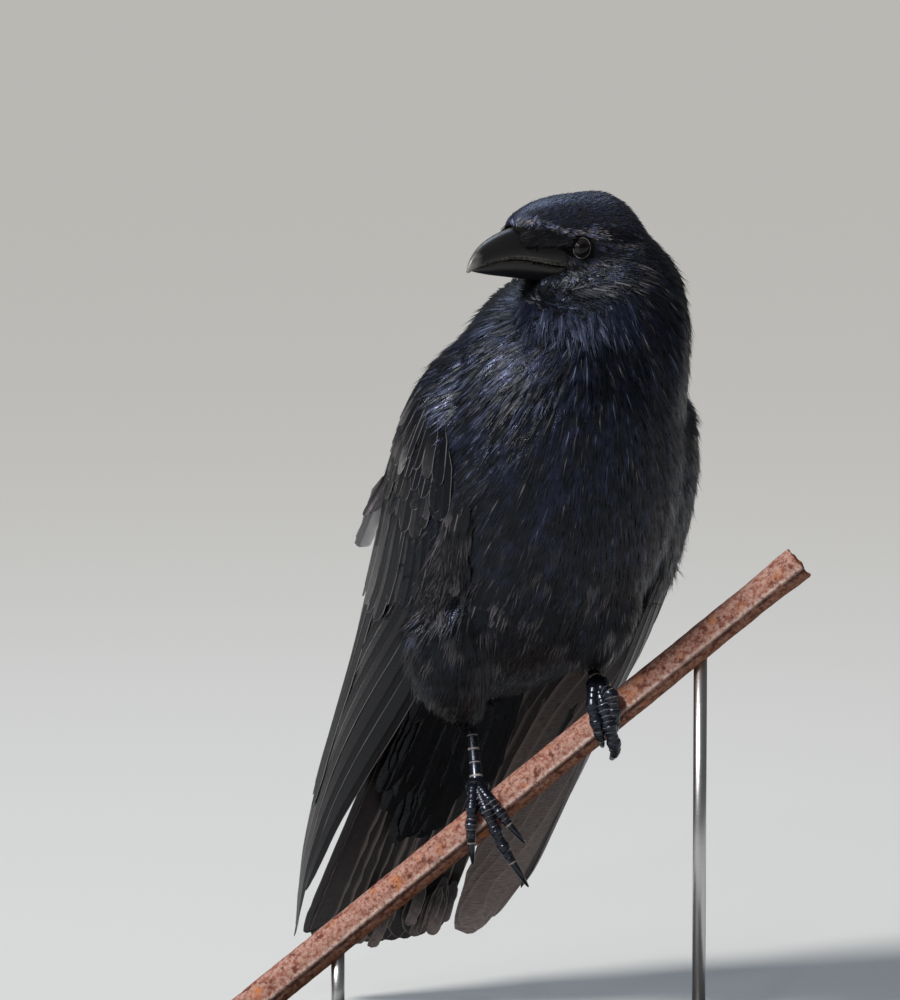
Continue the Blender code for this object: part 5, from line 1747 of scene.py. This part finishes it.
base_bm = bmesh.new()
base_size = Matrix.Diagonal((BASE_WIDTH, BASE_DEPTH, BASE_HEIGHT, 1))
bmesh.ops.create_cube(base_bm, size=1, matrix=Matrix.Translation((0, 0, BASE_HEIGHT / 2)) @ base_size)
uprights = [e for e in base_bm.edges if abs((e.verts[0].co - e.verts[1].co).z) > BASE_HEIGHT / 2]
rounded(base_bm, uprights, BASE_CORNER, 12)
base_bm.normal_update()
rounded(base_bm, level_edges(base_bm), 1.2 * MM, 4)
base_mesh = made_mesh(base_bm, "base_plate")
PAINT_DARK, PAINT_LIGHT = (0.055, 0.055, 0.057), (0.085, 0.085, 0.087)
stand_paint, tree = new_finish("stand_paint", {"Roughness": 0.5})
paint_grain = grain(tree, object_place(tree), 1400)
paint_colour = colour_ramp(tree, paint_grain, (0, PAINT_DARK), (1, PAINT_LIGHT))
feed_shader(tree, Base_Color=paint_colour, Normal=relief(tree, paint_grain, 0.25, 0.0002))
new_piece(base_mesh, "base_plate", "stand_paint", "stand_base").data.materials.append(stand_paint)

STEEL_DARK, STEEL_LIGHT = (0.44, 0.44, 0.45), (0.60, 0.60, 0.61)
stand_steel, tree = new_finish("stand_steel", {"Metallic": 1.0})
brushed = {"Vector": object_place(tree), "Scale": (1, 1, 60)}
steel_grain = grain(tree, add_node(tree, "Mapping", brushed).outputs["Vector"], 60)
feed_shader(
    tree,
    Base_Color=colour_ramp(tree, steel_grain, (0, STEEL_DARK), (1, STEEL_LIGHT)),
    Roughness=spread_over(tree, steel_grain, 0, 1, 0.22, 0.42),
)
for word, x in ROD_PLACES:
    top = GRIP.z + (x - GRIP.x) * PERCH_AXIS.z / PERCH_AXIS.x - ROD_END
    rod_bm = bmesh.new()
    bmesh.ops.create_cone(
        rod_bm,
        cap_ends=True,
        segments=32,
        radius1=ROD_RADIUS,
        radius2=ROD_RADIUS,
        depth=top - BASE_HEIGHT,
        matrix=Matrix.Translation((x, 0, (top + BASE_HEIGHT) / 2)),
    )
    collar_bm = bmesh.new()
    bmesh.ops.create_cone(
        collar_bm,
        cap_ends=True,
        segments=40,
        radius1=COLLAR_RADIUS,
        radius2=COLLAR_TOP_RADIUS,
        depth=COLLAR_HEIGHT,
        matrix=Matrix.Translation((x, 0, BASE_HEIGHT + COLLAR_GAP + COLLAR_HEIGHT / 2)),
    )
    rims = [e for e in collar_bm.edges if abs(e.verts[0].co.z - e.verts[1].co.z) < 1e-6]
    rounded(collar_bm, rims, 0.5 * MM, 3)
    rod_mesh, collar_mesh = made_mesh(rod_bm, f"{word}_rod"), made_mesh(collar_bm, f"{word}_collar")
    rod = new_piece(rod_mesh, f"{word}_rod", "stand_steel", f"stand_rod_{word}")
    rod.data.materials.append(stand_steel)
    collar = new_piece(collar_mesh, f"{word}_collar", "stand_steel", f"stand_collar_{word}")
    collar.data.materials.append(stand_steel)

# ------------------------------------------------------------------ floor, light and camera
# A plain pale studio: a wide floor, a sun from the front left, a small light for the glint in the
# eye, a soft one on the left, and a cool one from above and behind. The camera looks slightly down
# from three metres off.
floor_bm = bmesh.new()
bmesh.ops.create_grid(floor_bm, x_segments=1, y_segments=1, size=40)
floor = bpy.data.objects.new("floor", made_mesh(floor_bm, "floor"))
bpy.context.scene.collection.objects.link(floor)
floor_paint, _ = new_finish("floor_pale", {"Base Color": (0.52, 0.52, 0.51, 1), "Roughness": 0.9})
floor.data.materials.append(floor_paint)

studio = bpy.data.worlds.new("studio")
bpy.context.scene.world = studio
studio.use_nodes = True
background = studio.node_tree.nodes["Background"].inputs
background["Color"].default_value = (0.94, 0.97, 1.0, 1)
background["Strength"].default_value = 0.12
bpy.context.scene.view_settings.view_transform = "Standard"


def lamp(name, kind, energy, place, aim, **settings):
    """Light at a place, aimed at another."""
    light = bpy.data.lights.new(name, kind)
    light.energy = energy
    for key, value in settings.items():
        setattr(light, key, value)
    made = bpy.data.objects.new(name, light)
    heading = (Vector(aim) - Vector(place)).to_track_quat("-Z", "Y")
    made.matrix_world = Matrix.Translation(place) @ heading.to_matrix().to_4x4()
    bpy.context.scene.collection.objects.link(made)


lamp("key", "SUN", 3.8, (-1.2, -1.2, 1.9), (0, 0, 0.25), angle=math.radians(10), color=(1, 0.97, 0.93))
lamp("catch_light", "AREA", 1.1, (-0.2, -1.05, 1.05), (0, 0, 0.33), shape="DISK", size=0.07)
lamp("soft_left", "AREA", 5, (-0.9, -0.9, 1.1), (0, 0, 0.3), shape="DISK", size=0.7)
lamp("sky", "AREA", 10, (-0.25, 0.55, 1.6), (0, 0, 0.3), shape="DISK", size=0.9, color=(0.72, 0.84, 1.0))

LENS, SENSOR, AWAY, ELEVATION = 243.0, 36.0, 3.0, math.radians(8)
AIM = GRIP + Vector((-0.04267, 0, 0.12094))
camera = bpy.data.objects.new("camera", bpy.data.cameras.new("camera"))
camera.data.lens = LENS
camera.data.sensor_width = SENSOR
camera.data.sensor_fit = "AUTO"
camera.data.clip_end = 100
forward = Vector((0, math.cos(ELEVATION), -math.sin(ELEVATION)))
camera.matrix_world = (
    Matrix.Translation(AIM - forward * AWAY) @ forward.to_track_quat("-Z", "Y").to_matrix().to_4x4()
)
bpy.context.scene.collection.objects.link(camera)
bpy.context.scene.camera = camera
